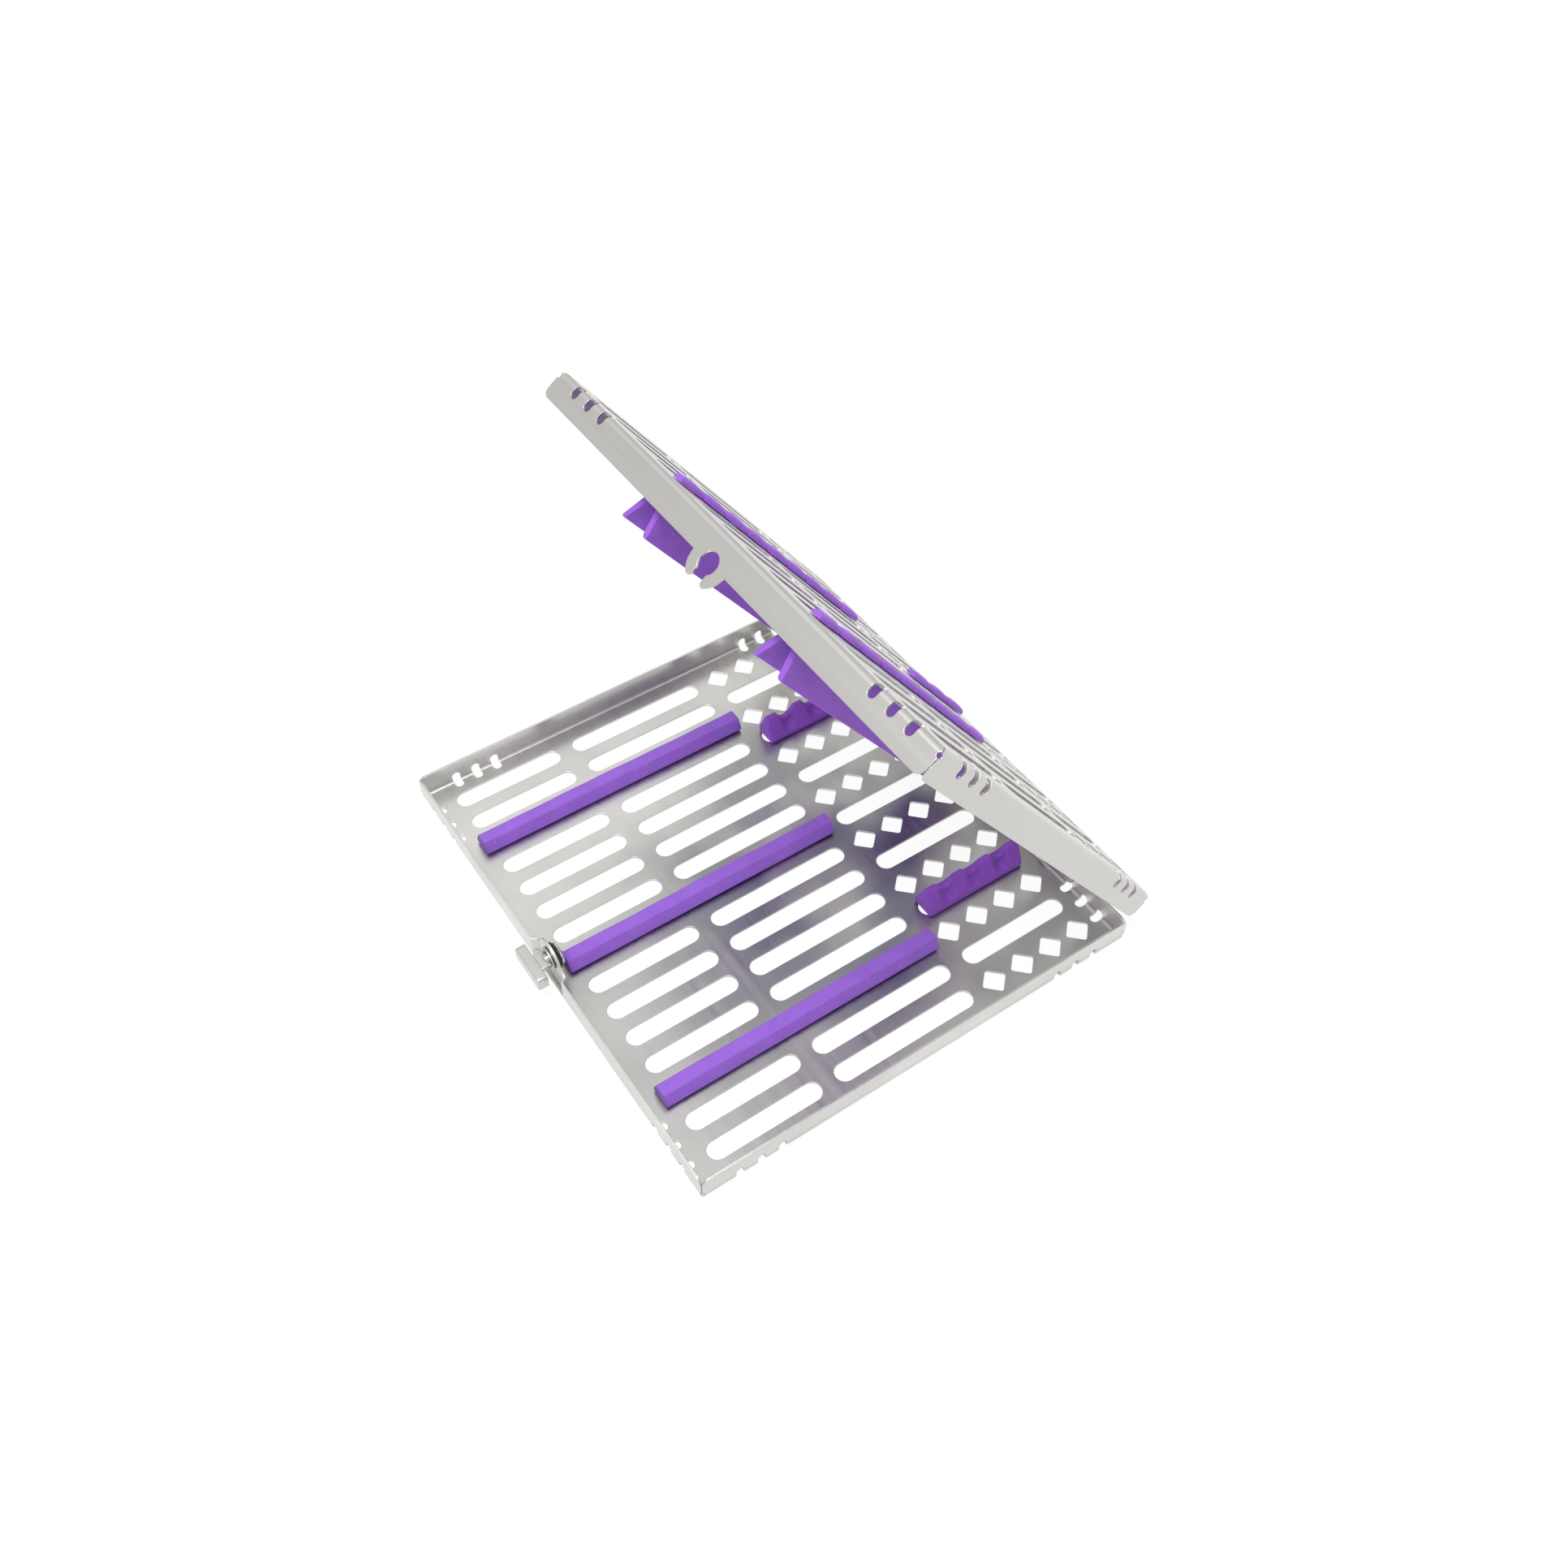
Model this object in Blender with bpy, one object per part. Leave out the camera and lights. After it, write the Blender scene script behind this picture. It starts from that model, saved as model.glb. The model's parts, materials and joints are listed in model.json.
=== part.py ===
"""Instrument sterilising tray: two shallow perforated steel pans joined by hinges along the back.

The lower pan holds silicone rails and notched rests that carry the instruments. The upper pan, the
lid, holds silicone hold-down strips, and a sprung-open clip on its front wall drops over the shank
of a quarter-turn latch. Both pans are pressed from one flat blank, so they are made here as a flat
blank with its holes and slots, folded up along its four sides.

Frame: +X along the front wall, +Y from the latch to the hinges, +Z up, in metres. The origin is the
middle of the lower pan's underside.
"""

from math import acos, asin, atan2, cos, pi, radians, sin, sqrt

import bmesh
import bpy
import numpy as np
from mathutils import Matrix
from mathutils.geometry import delaunay_2d_cdt

MM = 0.001

# Pans
PAN_WIDTH = 201.0 * MM
PAN_DEPTH = 177.0 * MM
PAN_HEIGHT = 10.3 * MM
SHEET = 0.9 * MM
BEND_RADIUS = 1.3 * MM            # inside radius of the folds
RIM_GAP = 0.4 * MM                # between the two rims when the lid is shut
CORNER_SEAM = 0.35 * MM           # each wall stops this far short of the corner
RELIEF_RADIUS = 1.1 * MM          # round relief where two folds meet
RIM_CORNER = 2.6 * MM             # rounding of a wall's upper ends
OPEN_ANGLE = 53.6                 # degrees from shut, as the tray is shown

# Perforation
HOLE_PITCH = 12.7 * MM
ROW_MARGIN = 8.0 * MM             # nearest a row may come to a side wall
SLOT_WIDTH = 7.3 * MM
FRONT_MARGIN = 9.5 * MM           # front wall to the front slots
FRONT_SLOT = 44.1 * MM
FRONT_LAND = 6.2 * MM             # plain strip between the front and middle slots
REAR_LAND = 7.1 * MM
REAR_SLOT = 44.3 * MM
REAR_MARGIN = 8.4 * MM
DIAMOND_SIDE = 7.3 * MM
DIAMOND_CORNER = 1.2 * MM
DIAMOND_PITCH = 12.7 * MM
DIAMONDS = 4
VENT_WIDTH = 3.2 * MM             # short slots that run over the folds near each corner
VENT_PITCH = 8.15 * MM
VENTS = 3
VENT_FROM_SIDE = 12.0 * MM
VENT_FROM_END = 14.6 * MM
VENT_ON_FLOOR = 2.4 * MM
VENT_ON_WALL = 4.6 * MM

# Silicone in the lower pan
GAP = 0.3 * MM                    # between pieces that touch
RAIL_ROWS = (-5, 0, 5)
RAIL_TOP = 4.8 * MM
RAIL_BASE = 9.2 * MM
RAIL_FOOT = 7.2 * MM
RAIL_HEIGHT = 5.2 * MM
RAIL_LIFT = 0.7 * MM              # rail's underside above the floor
RAIL_OVERHANG = 2.3 * MM          # rail beyond the slots beside it
NUB_RADIUS = 1.6 * MM
NUB_FIT = 0.3 * MM
NUBS = 6
NUB_FROM_END = 6.0 * MM
REST_ROWS = (-4, 4)
REST_SHORT = 1.0 * MM             # rest is shorter than the slot under it, at each end
REST_WIDTH = 10.4 * MM
REST_RIDGE = 3.0 * MM
REST_SIDE = 4.0 * MM              # height of the rest's upright sides
REST_HEIGHT = 9.3 * MM
REST_VALLEY = 3.0 * MM
REST_PEAKS = 4

# Silicone in the lid
STRIP_ROWS = (-3, 3)
STRIP_SHIFT = 1.4 * MM            # long strips stand this much nearer the middle than their rows
STRIP_INSET = 5.4 * MM            # strips' front end from the front wall
STRIP_REAR_GAP = 8.0 * MM         # strips' rear end past the middle slots
SHORT_STRIP_ROWS = (0,)
SHORT_STRIP_GAP = 3.6 * MM        # short strip's front end past the middle slots
SHORT_STRIP_LENGTH = 44.3 * MM
BEAD_WIDTH = 5.4 * MM
BEAD_HEIGHT = 2.2 * MM
BEAD_PITCH = 12.7 * MM
FLAP_THICKNESS = 1.8 * MM
FLAP_SPREAD = 6.3 * MM            # flap tips from the strip's middle
FLAP_CLEARANCE = 0.4 * MM         # flap tips above the floor when shut
NECK_WIDTH = 2.2 * MM
NECK_LENGTH = 20.0 * MM
NECK_PITCH = 25.4 * MM

# Latch
LATCH_RISE = 0.4 * MM             # latch axis above the lower pan's rim
CLIP_BORE = 3.85 * MM
CLIP_RADIUS = 8.0 * MM
CLIP_MOUTH = 4.8 * MM
CLIP_TIP = 1.5 * MM
TAB_RADIUS = 7.3 * MM
TAB_FOOT = 9.4 * MM
SETBACK_FULL = 9.6 * MM           # the front wall is pressed back between these widths
SETBACK_END = 11.4 * MM
SETBACK_LOW = 2.3 * MM
SETBACK_HIGH = 3.7 * MM
CLIP_CLEARANCE = 0.3 * MM         # clip's inner face to the washer behind it, when shut
SHANK_WIDTH = 7.1 * MM
SHANK_THICKNESS = 2.3 * MM
SHANK_LENGTH = 4.2 * MM
SPINDLE_RADIUS = 2.2 * MM
SPINDLE_FIT = 0.06 * MM
HEAD_WIDTH = 17.0 * MM
HEAD_DEPTH = 3.9 * MM
HEAD_HEIGHT = 5.8 * MM
HEAD_BEVEL = 0.7 * MM
WASHER_RADIUS = 4.4 * MM
WASHER_THICKNESS = 0.5 * MM
FRICTION_DISC_RADIUS = 5.0 * MM
FRICTION_DISC_THICKNESS = 1.2 * MM
CAP_RADIUS = 4.3 * MM
CAP_HEIGHT = 1.9 * MM

# Hinges
HINGE_INSET = 36.0 * MM           # hinge middle from the side wall
HINGE_LENGTH = 24.0 * MM
HINGE_SHEET = 0.6 * MM
HINGE_PIN = 0.8 * MM
PIN_FIT = 0.06 * MM
KNUCKLE_GAP = 0.3 * MM
MIDDLE_KNUCKLE = 8.4 * MM
LEAF_EDGE = 2.6 * MM              # leaf's far edge from the pan's flat face
CURL_END = radians(108)           # where the rolled knuckle stops, past level on its outer side
PIN_HEAD = 1.3 * MM
PIN_HEAD_LENGTH = 0.7 * MM
RIVET_SHANK = 1.0 * MM
RIVET_FIT = 0.3 * MM
RIVET_HEAD = 1.7 * MM
RIVET_HEAD_HEIGHT = 0.6 * MM
RIVET_SPACING = 15.0 * MM
RIVET_RISE = 5.2 * MM             # rivets from the pan's flat face

# Fineness of round shapes
ARC_STEP = radians(36)
FINE_STEP = radians(15)           # for the clip's bore, which clears the shank by little
BEND_STEPS = 3

HALF_W = PAN_WIDTH / 2
HALF_D = PAN_DEPTH / 2
SHUT_HEIGHT = 2 * PAN_HEIGHT + RIM_GAP
BEND_OUTSIDE = BEND_RADIUS + SHEET
FLOOR_X = HALF_W - BEND_OUTSIDE
FLOOR_Y = HALF_D - BEND_OUTSIDE
BEND_MIDDLE = BEND_RADIUS + SHEET / 2
BEND_LENGTH = BEND_MIDDLE * pi / 2
WALL_LENGTH = BEND_LENGTH + PAN_HEIGHT - BEND_OUTSIDE
ROWS = int((HALF_W - ROW_MARGIN) / HOLE_PITCH)

FRONT_SLOT_Y = -HALF_D + FRONT_MARGIN + FRONT_SLOT / 2
REAR_SLOT_Y = HALF_D - REAR_MARGIN - REAR_SLOT / 2
MIDDLE_FRONT = -HALF_D + FRONT_MARGIN + FRONT_SLOT + FRONT_LAND
MIDDLE_REAR = HALF_D - REAR_MARGIN - REAR_SLOT - REAR_LAND
MIDDLE_SLOT = MIDDLE_REAR - MIDDLE_FRONT
MIDDLE_SLOT_Y = (MIDDLE_REAR + MIDDLE_FRONT) / 2

SETBACK = SHEET + CLIP_CLEARANCE + WASHER_THICKNESS + GAP
LATCH_Z = PAN_HEIGHT + LATCH_RISE
KNUCKLE_CENTRELINE = HINGE_PIN + PIN_FIT + HINGE_SHEET / 2
KNUCKLE_RADIUS = KNUCKLE_CENTRELINE + HINGE_SHEET / 2
LEAF_Y = HALF_D + GAP + HINGE_SHEET / 2
HINGE_Y = LEAF_Y + KNUCKLE_CENTRELINE
HINGE_Z = PAN_HEIGHT + RIM_GAP / 2


def clear_scene():
    for item in list(bpy.data.objects):
        bpy.data.objects.remove(item, do_unlink=True)


def material(name, colour, roughness, metallic):
    made = bpy.data.materials.new(name)
    made.use_nodes = True
    shader = made.node_tree.nodes["Principled BSDF"]
    shader.inputs["Base Color"].default_value = (*colour, 1.0)
    shader.inputs["Roughness"].default_value = roughness
    shader.inputs["Metallic"].default_value = metallic
    return made


def add_object(name, mesh, finish, parent=None):
    """Link a mesh as a named piece, and hang it on its axis while keeping its place."""
    mesh.materials.clear()
    mesh.materials.append(finish)
    piece = bpy.data.objects.new(name, mesh)
    bpy.context.collection.objects.link(piece)
    if parent is not None:
        piece.parent = parent
        piece.matrix_parent_inverse = Matrix.Translation(parent.location).inverted()
    return piece


def axis_empty(name, place):
    empty = bpy.data.objects.new(name, None)
    empty.location = place
    bpy.context.collection.objects.link(empty)
    return empty


def mesh_from_bmesh(name, shape):
    bmesh.ops.recalc_face_normals(shape, faces=shape.faces)
    mesh = bpy.data.meshes.new(name)
    shape.to_mesh(mesh)
    shape.free()
    return mesh


# ---- Flat outlines, as arrays of points in the blank's plane

def arc(centre, radius, start, end, step=ARC_STEP):
    """Points on a circle from one angle to another, at most one step apart."""
    steps = max(1, int(np.ceil(abs(end - start) / step - 1e-6)))
    turn = np.linspace(start, end, steps + 1)
    return np.column_stack((centre[0] + radius * np.cos(turn), centre[1] + radius * np.sin(turn)))


def circle(centre, radius):
    return arc(centre, radius, 0, 2 * pi)[:-1]


def stadium(centre, length, width):
    """Slot with round ends, its length along Y."""
    reach = (length - width) / 2
    top = arc((centre[0], centre[1] + reach), width / 2, 0, pi)
    bottom = arc((centre[0], centre[1] - reach), width / 2, pi, 2 * pi)
    return np.vstack((top, bottom))


def diamond(centre):
    """Square turned on its corner, the corners cut off short."""
    reach = DIAMOND_SIDE / sqrt(2)
    cut = DIAMOND_CORNER / sqrt(2)
    points = []
    for turn in range(4):
        angle = turn * pi / 2
        out = np.array((cos(angle), sin(angle)))
        side = np.array((-sin(angle), cos(angle)))
        for share in (-1, 1):
            points.append(out * (reach - cut) + side * cut * share)
    return np.array(points) + np.array(centre)


def turned(points, quarter_turns):
    for _ in range(quarter_turns):
        points = np.column_stack((-points[:, 1], points[:, 0]))
    return points


def wall_end(rise):
    """How far past the floor's corner a wall reaches, at a flat distance from the fold's start."""
    angle = np.minimum(rise / BEND_MIDDLE, pi / 2)
    return BEND_RADIUS * np.sin(angle) - CORNER_SEAM


def wall_outline(half_floor, rim_feature):
    """One wall's edge in its own frame: along the wall in X, outward in Y, from its left foot."""
    fold = np.linspace(0, BEND_LENGTH, BEND_STEPS + 1)
    foot = np.column_stack((half_floor + wall_end(fold), fold))
    half_rim = half_floor + BEND_RADIUS - CORNER_SEAM
    centre = (half_rim - RIM_CORNER, WALL_LENGTH - RIM_CORNER)
    shoulder = arc(centre, RIM_CORNER, 0, pi / 2)
    right = np.vstack((foot, shoulder))
    left = right[::-1] * np.array((-1, 1))
    parts = [right]
    if rim_feature is not None:
        parts.append(rim_feature + np.array((0, WALL_LENGTH)))
    parts.append(left)
    return np.vstack(parts)


def pan_outline(front_feature):
    """The whole blank's edge, anticlockwise: right, rear, left and front walls in turn."""
    edges = []
    for quarter, across, out in ((0, FLOOR_X, FLOOR_Y), (1, FLOOR_Y, FLOOR_X),
                                 (2, FLOOR_X, FLOOR_Y), (3, FLOOR_Y, FLOOR_X)):
        feature = front_feature if quarter == 2 else None
        wall = wall_outline(across, feature) + np.array((0, out))
        edges.append(turned(wall, quarter))
    return np.vstack(edges)


def vents():
    """Short slots over the folds, a group near each end of every wall."""
    found = []
    length = VENT_ON_FLOOR + VENT_ON_WALL
    middle = (VENT_ON_WALL - VENT_ON_FLOOR) / 2
    walls = ((0, HALF_W - VENT_FROM_SIDE, FLOOR_Y), (1, HALF_D - VENT_FROM_END, FLOOR_X),
             (2, HALF_W - VENT_FROM_SIDE, FLOOR_Y), (3, HALF_D - VENT_FROM_END, FLOOR_X))
    for quarter, first, out in walls:
        for step in range(VENTS):
            for side in (-1, 1):
                place = (side * (first - step * VENT_PITCH), out + middle)
                found.append(turned(stadium(place, length, VENT_WIDTH), quarter))
    return found


def corner_reliefs():
    """A round hole where two folds meet."""
    inset = BEND_RADIUS * 0.3
    return [circle((x * (FLOOR_X + inset), y * (FLOOR_Y + inset)), RELIEF_RADIUS)
            for x in (-1, 1) for y in (-1, 1)]


def rivet_places():
    """Rivet holes in the rear wall, as (x, flat distance along the blank)."""
    out = FLOOR_Y + BEND_LENGTH + RIVET_RISE - BEND_OUTSIDE
    return [(side * (HALF_W - HINGE_INSET) + hand * RIVET_SPACING / 2, out)
            for side in (-1, 1) for hand in (-1, 1)]


def perforation(bare_long, bare_short):
    """Slots in three columns; in the rear column every other row has diamonds instead."""
    found = []
    for row in range(-ROWS, ROWS + 1):
        x = row * HOLE_PITCH
        if row not in bare_long:
            found.append(stadium((x, FRONT_SLOT_Y), FRONT_SLOT, SLOT_WIDTH))
            found.append(stadium((x, MIDDLE_SLOT_Y), MIDDLE_SLOT, SLOT_WIDTH))
        if row in bare_short:
            continue
        if row % 2:
            first = REAR_SLOT_Y - (DIAMONDS - 1) * DIAMOND_PITCH / 2
            for step in range(DIAMONDS):
                found.append(diamond((x, first + step * DIAMOND_PITCH)))
        else:
            found.append(stadium((x, REAR_SLOT_Y), REAR_SLOT, SLOT_WIDTH))
    return found


# ---- Folding the blank

def smooth_step(value):
    value = np.clip(value, 0, 1)
    return value * value * (3 - 2 * value)


def fold(flat, depth, setback):
    """Fold flat points up; depth is 0 on the pan's inside and SHEET on its outside.

    Past the floor's edge a point turns on the bend's radius and then rises straight. Near a wall's
    end the outside runs on by the sheet's thickness, so two walls meet in a mitre. The front wall
    is also pressed back by the setback around the latch.
    """
    x, y = flat[:, 0], flat[:, 1]
    over_x, over_y = np.abs(x) - FLOOR_X, np.abs(y) - FLOOR_Y
    on_side = over_x > over_y
    over = np.maximum(np.maximum(over_x, over_y), 0)
    angle = np.minimum(over / BEND_MIDDLE, pi / 2)
    rise = np.maximum(over - BEND_LENGTH, 0)
    reach = (BEND_RADIUS + depth) * np.sin(angle)
    height = BEND_OUTSIDE - (BEND_RADIUS + depth) * np.cos(angle) + rise
    run = 3 * BEND_RADIUS
    beside = np.where(on_side, over_y, over_x)
    share = np.clip((beside + run) / (run + BEND_RADIUS * np.sin(angle)), 0, 1)
    mitre = depth * np.sin(angle) * share
    folded_x = np.where(on_side, np.sign(x) * (FLOOR_X + reach), x + np.sign(x) * mitre)
    folded_y = np.where(on_side, y + np.sign(y) * mitre, np.sign(y) * (FLOOR_Y + reach))
    flat_floor = over <= 0
    folded_x = np.where(flat_floor, x, folded_x)
    folded_y = np.where(flat_floor, y, folded_y)
    across = smooth_step((SETBACK_END - np.abs(x)) / (SETBACK_END - SETBACK_FULL))
    upward = smooth_step((height - SETBACK_LOW) / (SETBACK_HIGH - SETBACK_LOW))
    front = (y < 0) & ~on_side & ~flat_floor
    folded_y = folded_y + np.where(front, setback * across * upward, 0)
    return np.column_stack((folded_x, folded_y, height))


def inside(points, outline):
    """True for each point that an odd number of the outline's edges lie to the right of."""
    ends = np.roll(outline, -1, axis=0)
    px, py = points[:, 0, None], points[:, 1, None]
    spans = (outline[:, 1] > py) != (ends[:, 1] > py)
    climb = ends[:, 1] - outline[:, 1]
    slope = (ends[:, 0] - outline[:, 0]) / np.where(climb == 0, 1, climb)
    crossing = outline[:, 0] + (py - outline[:, 1]) * slope
    return (np.sum(spans & (px < crossing), axis=1) % 2) == 1


def fold_lines(setback):
    """Straight lines that the folds and the pressed-back part need points on."""
    lines = []
    for step in range(BEND_STEPS + 1):
        out = BEND_LENGTH * step / BEND_STEPS
        for quarter, across, start in ((0, FLOOR_X, FLOOR_Y), (1, FLOOR_Y, FLOOR_X),
                                       (2, FLOOR_X, FLOOR_Y), (3, FLOOR_Y, FLOOR_X)):
            ends = np.array(((-across - BEND_RADIUS, start + out), (across + BEND_RADIUS, start + out)))
            lines.append(turned(ends, quarter))
    if setback:
        base = FLOOR_Y + BEND_LENGTH - BEND_OUTSIDE
        for share in np.linspace(0, 1, 5):
            level = SETBACK_LOW + share * (SETBACK_HIGH - SETBACK_LOW)
            lines.append(np.array(((-SETBACK_END, -base - level), (SETBACK_END, -base - level))))
            edge = SETBACK_FULL + share * (SETBACK_END - SETBACK_FULL)
            for side in (-1, 1):
                lines.append(np.array(((side * edge, -base - SETBACK_LOW),
                                       (side * edge, -FLOOR_Y - WALL_LENGTH))))
    return lines


def folded_pan(name, outline, holes, setback):
    """A closed folded sheet: the blank's triangles on both faces, joined along every cut edge."""
    points, edges = [], []
    for ring in [outline] + holes:
        start = len(points)
        points.extend(map(tuple, ring))
        edges.extend((start + i, start + (i + 1) % len(ring)) for i in range(len(ring)))
    for line in fold_lines(setback):
        edges.append((len(points), len(points) + 1))
        points.extend(map(tuple, line))
    flat, _, triangles, _, _, _ = delaunay_2d_cdt(points, edges, [], 0, 1e-8, False)
    flat = np.array([tuple(point) for point in flat])
    triangles = np.array(triangles)
    middle = flat[triangles].mean(axis=1)
    keep = inside(middle, outline)
    for ring in holes:
        keep &= ~inside(middle, ring)
    triangles = triangles[keep]
    used, triangles = np.unique(triangles, return_inverse=True)
    triangles = triangles.reshape(-1, 3)
    flat = flat[used]
    a, b, c = flat[triangles[:, 0]], flat[triangles[:, 1]], flat[triangles[:, 2]]
    area = (b[:, 0] - a[:, 0]) * (c[:, 1] - a[:, 1]) - (b[:, 1] - a[:, 1]) * (c[:, 0] - a[:, 0])
    triangles[area < 0] = triangles[area < 0][:, ::-1]
    count = len(flat)
    directed = {(i, j) for tri in triangles.tolist() for i, j in zip(tri, tri[1:] + tri[:1])}
    cut = sorted((i, j) for i, j in directed if (j, i) not in directed)
    faces = triangles.tolist() + (triangles[:, ::-1] + count).tolist()
    faces += [(j, i, i + count, j + count) for i, j in cut]
    places = np.vstack((fold(flat, 0, setback), fold(flat, SHEET, setback)))
    mesh = bpy.data.meshes.new(name)
    mesh.from_pydata(places.tolist(), [], faces)
    return mesh


def turned_over(mesh):
    """Mirror an upward pan to the lid's place, its rim facing down over the lower pan."""
    mesh.transform(Matrix.Translation((0, 0, SHUT_HEIGHT)) @ Matrix.Scale(-1, 4, (0, 0, 1)))
    mesh.flip_normals()
    return mesh


# ---- Solids made by extruding a profile

def prism(name, profile, start, end, axis):
    """A closed prism: the profile in the two other axes, from start to end along the given axis."""
    shape = bmesh.new()
    rings = []
    for level in (start, end):
        ring = []
        for first, second in profile:
            place = {"X": (level, first, second), "Y": (first, level, second),
                     "Z": (first, second, level)}[axis]
            ring.append(shape.verts.new(place))
        rings.append(ring)
    count = len(profile)
    shape.faces.new(rings[0])
    shape.faces.new(rings[1][::-1])
    for i in range(count):
        j = (i + 1) % count
        shape.faces.new((rings[0][i], rings[1][i], rings[1][j], rings[0][j]))
    return mesh_from_bmesh(name, shape)


def loft(name, rings):
    """A closed solid through rings of points that all have the same count."""
    shape = bmesh.new()
    made = [[shape.verts.new(point) for point in ring] for ring in rings]
    count = len(made[0])
    shape.faces.new(made[0])
    shape.faces.new(made[-1][::-1])
    for lower, upper in zip(made, made[1:]):
        for i in range(count):
            j = (i + 1) % count
            shape.faces.new((lower[i], upper[i], upper[j], lower[j]))
    bmesh.ops.triangulate(shape, faces=[face for face in shape.faces if len(face.verts) == 4])
    return mesh_from_bmesh(name, shape)


def around_latch(radius, y, steps):
    """Points of a circle around the latch axis."""
    return [(radius * cos(2 * pi * k / steps), y, LATCH_Z + radius * sin(2 * pi * k / steps))
            for k in range(steps)]


def washer_mesh(name, bore, radius, front, rear, steps):
    """Flat ring around the latch axis, between two planes."""
    shape = bmesh.new()
    rings = []
    for r, y in ((bore, front), (radius, front), (radius, rear), (bore, rear)):
        rings.append([shape.verts.new(point) for point in around_latch(r, y, steps)])
    for first, second in zip(rings, rings[1:] + rings[:1]):
        for i in range(steps):
            j = (i + 1) % steps
            shape.faces.new((first[i], second[i], second[j], first[j]))
    return mesh_from_bmesh(name, shape)


def joined(name, base, extra, operation):
    """Apply an exact Boolean of some meshes to a base mesh, and return the result."""
    piece = bpy.data.objects.new(name, base)
    bpy.context.collection.objects.link(piece)
    cutters = []
    for index, mesh in enumerate(extra):
        cutter = bpy.data.objects.new(f"{name}_tool_{index}", mesh)
        bpy.context.collection.objects.link(cutter)
        cutters.append(cutter)
        step = piece.modifiers.new(f"step_{index}", "BOOLEAN")
        step.operation = operation
        step.solver = "EXACT"
        step.object = cutter
    bpy.context.view_layer.update()
    graph = bpy.context.evaluated_depsgraph_get()
    result = bpy.data.meshes.new_from_object(piece.evaluated_get(graph))
    for item in [piece] + cutters:
        bpy.data.objects.remove(item, do_unlink=True)
    return result


# ---- Lower pan and lid

def tab_outline():
    """Tab that rises from the front rim around the latch, drawn above the rim."""
    start = atan2(TAB_RADIUS * 0.3, TAB_RADIUS)
    crown = arc((0, LATCH_RISE), TAB_RADIUS, start, pi - start)
    return np.vstack(((TAB_FOOT, 0), crown, (-TAB_FOOT, 0)))


def clip_outline():
    """C-shaped clip that hangs from the lid's rim, with its mouth facing away from the lid."""
    centre = (0, RIM_GAP - LATCH_RISE)
    root = asin((0 - centre[1]) / CLIP_RADIUS)
    tip_x = CLIP_MOUTH / 2 + CLIP_TIP
    tip_y = sqrt((CLIP_RADIUS - CLIP_TIP) ** 2 - tip_x ** 2)
    tip_angle = atan2(tip_y, tip_x)
    mouth = acos(CLIP_MOUTH / 2 / CLIP_BORE)
    outer = arc(centre, CLIP_RADIUS, root, tip_angle)
    tip = arc((tip_x, centre[1] + tip_y), CLIP_TIP, tip_angle, pi)[1:]
    bore = arc(centre, CLIP_BORE, mouth, -pi / 2, FINE_STEP)
    right = np.vstack((outer, tip, bore))
    left = right[::-1] * np.array((-1, 1))
    return np.vstack((right, left[1:]))


def nub_ys():
    """Where each rail's nubs pass through the floor."""
    first = rail_ends()[0] + NUB_FROM_END
    last = rail_ends()[1] - NUB_FROM_END
    return np.linspace(first, last, NUBS)


def rail_ends():
    return (FRONT_SLOT_Y - FRONT_SLOT / 2 - RAIL_OVERHANG, MIDDLE_REAR + RAIL_OVERHANG)


def strip_span(short):
    """Front and rear end of a hold-down strip."""
    if short:
        front = MIDDLE_REAR + SHORT_STRIP_GAP
        return (front, front + SHORT_STRIP_LENGTH)
    return (-HALF_D + STRIP_INSET, MIDDLE_REAR + STRIP_REAR_GAP)


def strip_x(row):
    return row * HOLE_PITCH - np.sign(row) * STRIP_SHIFT


def neck_ys(short):
    front, rear = strip_span(short)
    count = max(1, int((rear - front) / NECK_PITCH))
    middle = (front + rear) / 2
    return [middle + (step - (count - 1) / 2) * NECK_PITCH for step in range(count)]


def lower_pan(finish):
    holes = perforation(RAIL_ROWS, ())
    holes += vents() + corner_reliefs()
    for row in RAIL_ROWS:
        holes += [circle((row * HOLE_PITCH, y), NUB_RADIUS + NUB_FIT) for y in nub_ys()]
    holes += [circle(place, RIVET_SHANK + RIVET_FIT) for place in rivet_places()]
    latch_out = -FLOOR_Y - BEND_LENGTH - (LATCH_Z - BEND_OUTSIDE)
    holes.append(circle((0, latch_out), SPINDLE_RADIUS + GAP))
    mesh = folded_pan("base_tray", pan_outline(tab_outline()), holes, SETBACK)
    return add_object("base_tray", mesh, finish)


def lid_pan(finish, parent):
    holes = perforation(STRIP_ROWS, SHORT_STRIP_ROWS)
    holes += vents() + corner_reliefs()
    for rows, short in ((STRIP_ROWS, False), (SHORT_STRIP_ROWS, True)):
        for row in rows:
            holes += [stadium((strip_x(row), y), NECK_LENGTH + 2 * GAP, NECK_WIDTH + 2 * GAP)
                      for y in neck_ys(short)]
    holes += [circle(place, RIVET_SHANK + RIVET_FIT) for place in rivet_places()]
    mesh = turned_over(folded_pan("lid", pan_outline(clip_outline()), holes, 0))
    return add_object("lid", mesh, finish, parent)


# ---- Silicone pieces

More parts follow.
